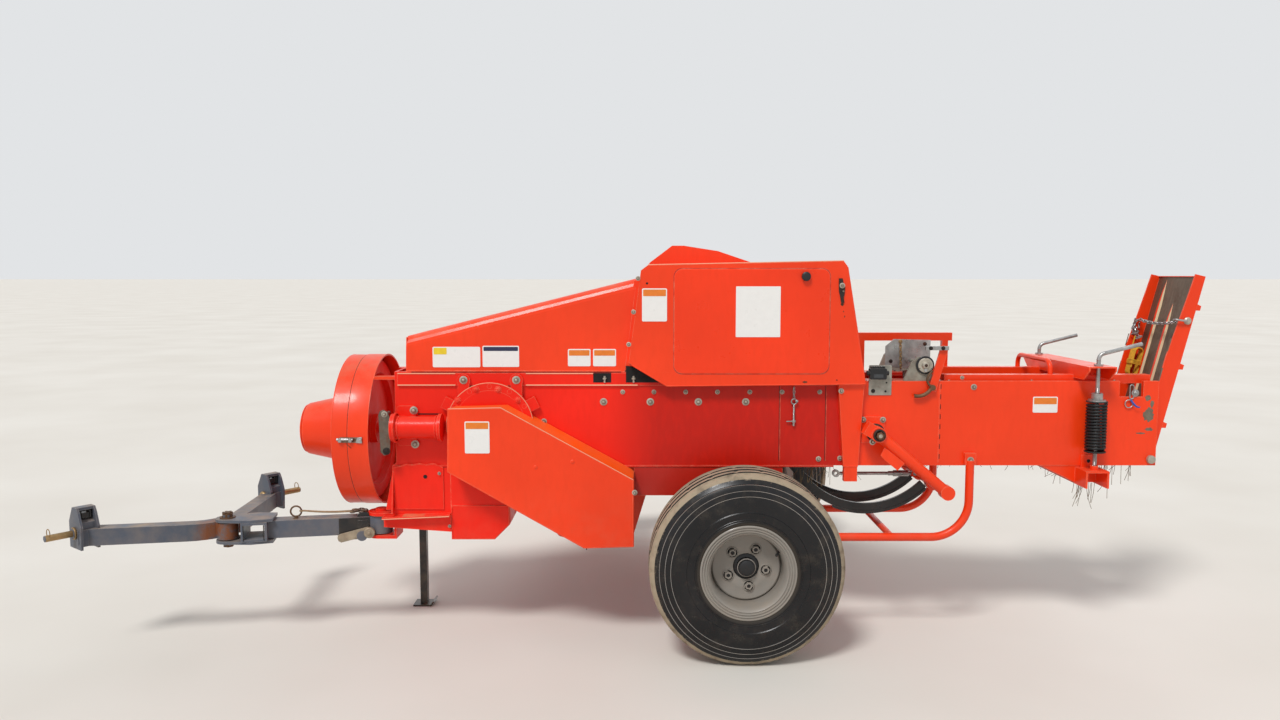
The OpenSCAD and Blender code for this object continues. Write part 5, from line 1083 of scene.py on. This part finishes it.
chute = Group("chute_panel", ORANGE, 0.8, "chute", replaces=("chute",))
EAR = [(-22, -20), (20, -20), (46, 20), (46, 870), (-3, 870), (-8, 780), (-20, 600), (-29, 478), (-30, 20)]
for y in (-190, 184):
    chute.plate(EAR, y, y + 6, place=chute_at)
chute.box((40.6, 46), (-187, 187), (20, 870), chute_at)
chute.box((34, 46), (-187, 187), (866, 870), chute_at)
for z in (150, 430, 710):
    chute.plate([(45, z), (66, z + 4), (66, z + 26), (45, z + 30)], -188, 188, place=chute_at)
floor_worn = Group("chute_floor", FLOOR, body="chute")
floor_worn.box((40, 40.6), (-184, 184), (21, 866), chute_at)
ribs = Group("chute_ribs", (CREAM, ORANGE), body="chute")
for y, top in ((-110, 735), (0, 735), (110, 850)):
    rows = []
    for z, half, high in ((60, 15, 6), (80, 17, 9), (top - 130, 17, 9), (top - 60, 10, 6), (top, 1, 1)):
        ridge = half * 0.45
        shape = ((41, y - half), (41 - high, y - ridge), (41 - high, y + ridge), (41, y + half))
        rows.append([chute_at(a, b, z) for a, b in shape])
    ribs.rings(rows, index=[0, 1, 0, 0])
edge = Group("chute_edges", WORN, body="chute")
for side in (-1, 1):
    y = side * 190
    corner = [(-30.4, y - 3 * side), (-26, y + 0.4 * side), (-30.4, y + 0.4 * side)]
    for z0, z1 in ((60, 300), (330, 420), (500, 560)):
        edge.plate(corner, z0, z1, "xy", chute_at)
hooks = Group("chute_bolts", BOLT, body="chute")
for side in (-1, 1):
    hooks.lathe(chute_at(20, side * 190, 655), (0, side, 0), [(17, 0), (17, 6), (12, 10), (12, 12)], 24)
    pivot = [(19.5, -6), (20, 0), (18, 8), (12, 11), (1, 12)]
    hooks.lathe((HINGE_X, side * 258, HINGE_Z), (0, side, 0), pivot)
links = Group("chute_chain", ZINC, body="chute")
LINK = (32, 19, 5.6)  # length, width and wire
near, far = Vector(chute_at(-6, -178, 650)), Vector(chute_at(-6, 172, 640))
SAG = 70
line = []
for t in (k / 12 for k in range(13)):
    line.append(near.lerp(far, t) - Vector((0, 0, SAG * t * (1 - t))))
links.chain(line, *LINK)
loop = ((20, -192, 655), (4, -205, 652), (-34, -204, 648), (-38, -186, 646), (-12, -178, 650))
links.sweep(smooth([chute_at(*q) for q in loop]), 5)
for k in range(12):
    heap = far + Vector((rnd.gauss(-16, 13), rnd.gauss(-10, 12), -12 - 7 * k + rnd.gauss(0, 5)))
    along = (rnd.gauss(0, 1), rnd.gauss(0, 1), rnd.gauss(0, 1.4))
    links.link(heap, along, (rnd.gauss(0, 1), 1, rnd.gauss(0, 1)), *LINK)


# Tongue and hitch

def turned(cx, cy, degrees):
    """Places in a frame that is turned about a vertical axis."""
    c, d = math.cos(math.radians(degrees)), math.sin(math.radians(degrees))
    return lambda x, y, z: (cx + x * c - y * d, cy + x * d + y * c, z)


tongue_at = turned(-1670, -180, 10.2)
hitch_at = turned(-2340.2, -300.6, -38.4)
TONGUE_SIDE = (0.177, -0.984, 0)
BOLT_X = -681  # hitch bolt on the tongue
black = Group("tongue_block", BLACK, 1.0, "tongue")
black.box((-190, -50), (-39.5, 39.5), (480.5, 559.5), tongue_at)
keeper = [(-112, 558), (-56, 558), (-56, 574), (-66, 580), (-92, 580), (-106, 570)]
black.plate(keeper, -26, 26, place=tongue_at)
black.plate([(-104, 490), (-56, 490), (-56, 548), (-104, 548)], -46, -38, place=tongue_at)
latch = Group("tongue_latch", TAN, 1.0, "tongue")
bar = [
    (-196, 470), (-192, 456), (-180, 448), (-60, 474), (-44, 490), (-46, 510), (-62, 516), (-182, 488),
    (-194, 482),
]
latch.plate(bar, -52, -44, place=tongue_at)
latch.lathe(tongue_at(-52, -58, 490), TONGUE_SIDE, [(24, -14), (25, -12), (25, 4), (22, 7), (9, 7)])
latch.bolt(tongue_at(-52, -64, 490), TONGUE_SIDE, 9)
ring = Group("tongue_ring", BROWN, body="tongue")
ring.torus(tongue_at(-383, 0, 592), (-0.177, 0.984, 0), 24, 4, 28)
ring.lathe(tongue_at(-383, 0, 557), UP, [(14, 0), (14, 4), (8, 7), (8, 14)], 16)
chain = Group("tongue_chain", STEEL, body="tongue", slot="steel_plated")
for places in (
    ((-138, -20, 584), (-104, -14, 585), (-66, -16, 584)), ((-132, 20, 580), (-96, 14, 585), (-68, 8, 584)),
):
    chain.chain([tongue_at(*q) for q in places], 30, 19, 6)
for k, z in ((-1, 464), (1, 576)):
    ring.lathe(tongue_at(BOLT_X, 0, z), (0, 0, k), [(34, -1), (34, 4), (31, 5)])
    ring.lathe(tongue_at(BOLT_X, 0, z + 4 * k), (0, 0, k), [(24, 0), (24, 16), (21, 18)], 6)
for k in range(6):
    dx, dy = around(17, 60 * k)
    ring.lathe(tongue_at(BOLT_X + dx, dy, 595), UP, [(6.5, 0), (6.5, 7), (5, 8)], 8)
ring.lathe(tongue_at(BOLT_X, 0, 590), UP, [(13, 0), (13, 12), (11, 14)], 20)
for x in (-600, -512):
    bead(black, tongue_at(x, -76.6, 482), tongue_at(x, -76.6, 556), 2.8)

# Hitch: link pins with their collars, blocks and loops
PIN_X, PIN_Z = -402, 540
pins = Group("hitch_pins", BRASS, body="hitch")
block = Group("hitch_blocks", DARK, 1.0, "hitch")
loops = Group("hitch_loops", BLACK, body="hitch")
for side in (-1, 1):
    axis = Vector(hitch_at(0, side, 0)) - Vector(hitch_at(0, 0, 0))
    c = 450 * side
    pins.lathe(hitch_at(PIN_X, 502 * side, PIN_Z), axis, [(14.2, 0), (14.7, 1), (14.7, 100), (14.0, 108)], 28)
    outer = [(14, 0), (27, 0), (28, 2), (28, 7), (26, 9), (14, 9)]
    pins.lathe(hitch_at(PIN_X, c + 41 * side, PIN_Z), axis, outer, closed=True)
    inner = [(14, 0), (26, 0), (26, -8), (20, -14), (14, -14)]
    pins.lathe(hitch_at(PIN_X, c - 41 * side, PIN_Z), axis, inner, 28, closed=True)
    pins.torus(hitch_at(PIN_X, 596 * side, PIN_Z + 22), axis, 18, 2)
    slope = [(-436, 548), (-366, 548), (-366, 588), (-424, 606), (-436, 600)]
    block.plate(slope, c - 30.5, c + 30.5, place=hitch_at)
    loop = [(-21, 606), (-21, 634), (-14, 641), (14, 641), (21, 634), (21, 606)]
    for x in (-416, -388):
        loops.sweep([hitch_at(x, c + y, z) for y, z in loop], 6.5, 10)
    loops.box((-420, -384), (c - 14, c + 14), (604, 628), hitch_at)
    for y in (-41, 41):
        bead(block, hitch_at(-366, c + y, 492), hitch_at(-366, c + y, 560), 2.6)

# Gauge wheel of the pickup: ribbed tyre on a dished disc
GAUGE_X, GAUGE_Y, GAUGE_Z = -680, 1494, 330
small_tyre = Group("gauge_tyre", SMALL_TYRE, body="gauge", replaces=("gauge_wheel",))
half = [
    (160, 4), (160, 14), (156, 15.5), (156, 19), (158, 20), (154, 25), (142, 30), (128, 30), (126, 31),
    (122, 31), (117, 30), (105, 24),
]
section = [(r, -d) for r, d in half[::-1]] + [(155.5, -3), (155.5, 3)] + half
small_tyre.lathe((GAUGE_X, GAUGE_Y, GAUGE_Z), BACK, section, 96, closed=True)
disc = Group("gauge_disc", ORANGE, body="gauge")
section = [
    (12.4, -26), (24, -26), (24, -4), (40, -6), (72, -5), (87, -7), (97, -21), (107, -22), (107, 22),
    (99, 23), (96, 19), (90, 3), (74, 0), (42, -1), (26, 5), (24, 26), (12.4, 26),
]
disc.lathe((GAUGE_X, GAUGE_Y, GAUGE_Z), BACK, section, 64, closed=True)
disc_bolts = Group("gauge_bolts", (BOLT, BOLT_HEAD), body="gauge")
bolt_circle(disc_bolts, (GAUGE_X, GAUGE_Y - 0.5, GAUGE_Z), 56, range(45, 360, 90), BACK, 8, 6)

# Pickup: chain case with its bearing covers, bolts of the side plate and of the wind guard
CASE_FACE = 1454  # outer face of the chain case
REEL = (-740, 505)
pickup_trim = Group("pickup_trim", ORANGE, 0.5, "pickup")
pickup_bolts = Group("pickup_bolts", (BOLT, BOLT_HEAD), body="pickup")
CHAIN_CASE = [(-814, 446), (-646, 446), (-436, 604), (-436, 694), (-557, 694), (-814, 566)]
pickup_trim.rail([(x, CASE_FACE, z) for x, z in CHAIN_CASE], 3, 10, closed=True)
for (x, z), r in ((REEL, 52), ((-484, 646), 36)):
    cover = [(r, -1), (r, 5), (r - 6, 8), (r * 0.6, 9), (r * 0.55, 13), (r * 0.2, 14)]
    pickup_trim.lathe((x, CASE_FACE, z), BACK, cover, 40)
    bolt_circle(pickup_bolts, (x, CASE_FACE + 7, z), r * 0.8, (90, 210, 330), BACK, 6, 4)
for x, z in ((-794, 466), (-655, 466), (-560, 530), (-456, 684), (-560, 674), (-690, 612), (-796, 548)):
    pickup_bolts.bolt((x, CASE_FACE, z), BACK, 7, 5)
for x, z in (
    (-874, 352), (-760, 318), (-540, 318), (-470, 420), (-448, 760), (-935, 478), (-925, 590), (-900, 628),
):
    pickup_bolts.bolt((x, 1430, z), BACK, 8, 5)
pickup_bolts.bolt((GAUGE_X, 1532, GAUGE_Z), BACK, 13, 9)
pickup_bolts.lathe((GAUGE_X, 1521, GAUGE_Z), BACK, [(24, 0), (24, 3), (13, 4)])

# Feed table: bolts of its rear and end sheets, bearing of the auger, folded front lip
for y in range(330, 1220, 176):
    for z in (850, 1040):
        bolts.bolt((60, y, z), REAR, 7, 5)
    bolts.bolt((24, y, 1066), UP, 7, 5)
TABLE_Y = 1230
auger = [(62, -1), (62, 6), (54, 9), (34, 10), (32, 22), (26, 25), (1, 25)]
trim.lathe((-200, TABLE_Y, 945), BACK, auger, 40)
bolt_circle(bolts, (-200, TABLE_Y + 8, 945), 48, range(45, 360, 90), BACK, 8, 5)
for x in (-400, -310, -60, 30):
    bolts.bolt((x, TABLE_Y, 835), BACK, 7, 5)
for x, z, r in ((-440, 816, 5), (-300, 1063, 4.5)):
    trim.rod((x, 256, z), (x, 1228, z), r, sides=12)

# Right side of the crank case: folded rail, seams and bolts; bolts of the lower housing
for x in range(-1500, -779, 180):
    for z in (1160, 842):
        bolts.bolt((x, WALL_Y, z), BACK, 9)
for x in (-1330, -620):
    seams_and_shade.on_wall((x - 1.2, x + 1.2), (822, 1228), 0.5, 1)
    trim_case.on_wall((x + 1.2, x + 6), (822, 1228), 1.6, 1)
# Pale lip of the upper rail: a painted highlight
pale.on_wall((-1560, -610), (1176, 1180), 2.5, 1)
for z in range(540, 781, 60):
    bolts.bolt((-1350, WALL_Y, z), BACK, 7, 5)


# Free ropes

ROPE_D = 6  # millimetres


def rope(name, body_name, mat, points, pieces):
    """A rope along points, as a curve of the rope's thickness; pieces are what is tied on it."""
    places = [at(*q) for q in points]
    curve = bpy.data.curves.new(name, "CURVE")
    curve.dimensions = "3D"
    curve.bevel_depth = ROPE_D / 2000
    curve.bevel_resolution = 3
    curve.use_fill_caps = True
    spline = curve.splines.new("POLY")
    spline.points.add(len(places) - 1)
    for point, place in zip(spline.points, places):
        point.co = (*place, 1)
    curve.materials.append(mat)
    obj = added(name, curve)
    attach(obj, body_name)
    for piece in pieces:
        Group.made.remove(piece)
        piece.finish()


def knot(name, body_name, mat, place, along):
    """An overhand knot at a rope's end: three turns of rope and a short tail."""
    tie = Group(name, mat, body=body_name)
    turns = [(4, -8), (8, -6), (8.5, -3), (6.5, -1), (9, 1), (9.5, 3), (7, 5), (8, 7), (5, 10), (3, 11)]
    tie.lathe(place, along, turns + [(3.4, 26), (1, 27)], 16)
    return tie


# Yellow hank that hangs from the heap of chain, against the chute's floor
FOLD_R, RUN, TURNS = 20, 100, 6
hank_x, hank_z, hank_y = 13, 430, 165
line = [(hank_x - FOLD_R, hank_y, hank_z + RUN / 2 + d) for d in (76, 50, 25)]
turn = []
for side in (-1, 1):
    turn += [(side * FOLD_R, side * RUN * (k / 4 - 0.5)) for k in range(4)]
    for a in (math.pi * k / 10 for k in range(10)):
        turn.append((side * FOLD_R * math.cos(a), side * (RUN / 2 + FOLD_R * math.sin(a))))
for k in range(TURNS * len(turn)):
    dx, dz = turn[k % len(turn)]
    line.append((hank_x + dx, hank_y - 7 * k / len(turn), hank_z + dz))
hank_end = hank_y - 7 * TURNS
line += [(hank_x - FOLD_R, hank_end - 1, hank_z + RUN / 2 - d) for d in (0, 25, 50)]
waist = Group("hank_tie", ROPE, body="chute")
loop = rounded((hank_x - FOLD_R - 6, hank_x + FOLD_R + 5), (hank_end - 8, hank_y + 5), 8)
for z in (-12, -6, 0, 6):
    waist.sweep([chute_at(x, y, hank_z + z) for x, y in loop], 2.6, closed=True)
end = knot("hank_knot", "chute", ROPE, chute_at(hank_x - FOLD_R, hank_end - 1, hank_z - 6), (-0.23, 0, -0.97))
rope("yellow_rope", "chute", ROPE, [chute_at(*q) for q in line], [waist, end])

# Thin rope from the chain on the tongue, through the ring and back
BEND_R = 20
line = [(-130 - 27 * k, -BEND_R, 585 + 12 * k / 8 - 5 * math.sin(math.pi * k / 8)) for k in range(9)]
for k in range(1, 10):
    a = math.pi * k / 10
    line.append((-346 - BEND_R * math.sin(a), -BEND_R * math.cos(a), 597 - 0.8 * k))
line += [(-346 + 27 * k, BEND_R, 589 - 9 * k / 8 - 5 * math.sin(math.pi * k / 8)) for k in range(9)]
end = knot("rope_knot", "tongue", TAN_ROPE, tongue_at(*line[-1]), (0.98, 0.18, 0))
rope("tongue_rope", "tongue", TAN_ROPE, [tongue_at(*q) for q in line], [end])

for group in Group.made:
    group.finish()


# Floor and light

HALF = 400  # metres
floor = added("floor", bpy.data.meshes.new("floor"))
corners = [(-HALF, -HALF, 0), (HALF, -HALF, 0), (HALF, HALF, 0), (-HALF, HALF, 0)]
floor.data.from_pydata(corners, [], [(0, 1, 2, 3)])
m = Finish("floor", None)
colour = m.mix(m.patches(0.6, 3, 0.3, 0.7), (214, 208, 198), (222, 217, 208))
floor.data.materials.append(m.finish(colour, 0.9))

world = bpy.data.worlds.new("world")
bpy.context.scene.world = world
sky = Tree(world)
shown = sky.node("LightPath", out="Is Camera Ray")
for ray in ("Is Glossy Ray", "Is Transmission Ray"):
    shown = sky.math("MAXIMUM", shown, sky.node("LightPath", out=ray))
light = sky.node("Background", (0.92, 0.95, 1.0, 1), 0.55)
backdrop = sky.node("Background", (226, 228, 230), 1.0)
both = sky.node("MixShader", shown, light, backdrop)
sky.link(both, sky.tree.nodes.new("ShaderNodeOutputWorld").inputs[0])


def sun(name, strength, angle, elevation, azimuth):
    """A soft sun from an azimuth, counted from -Y towards +X, in degrees."""
    lamp = bpy.data.lights.new(name, "SUN")
    lamp.energy = strength
    lamp.angle = math.radians(angle)
    e, a = math.radians(elevation), math.radians(azimuth)
    away = Vector((math.cos(e) * math.sin(a), -math.cos(e) * math.cos(a), math.sin(e)))
    added(name, lamp).rotation_euler = away.to_track_quat("Z", "Y").to_euler()


sun("key", 2.1, 14, 52, -28)
sun("fill", 0.5, 60, 35, 150)
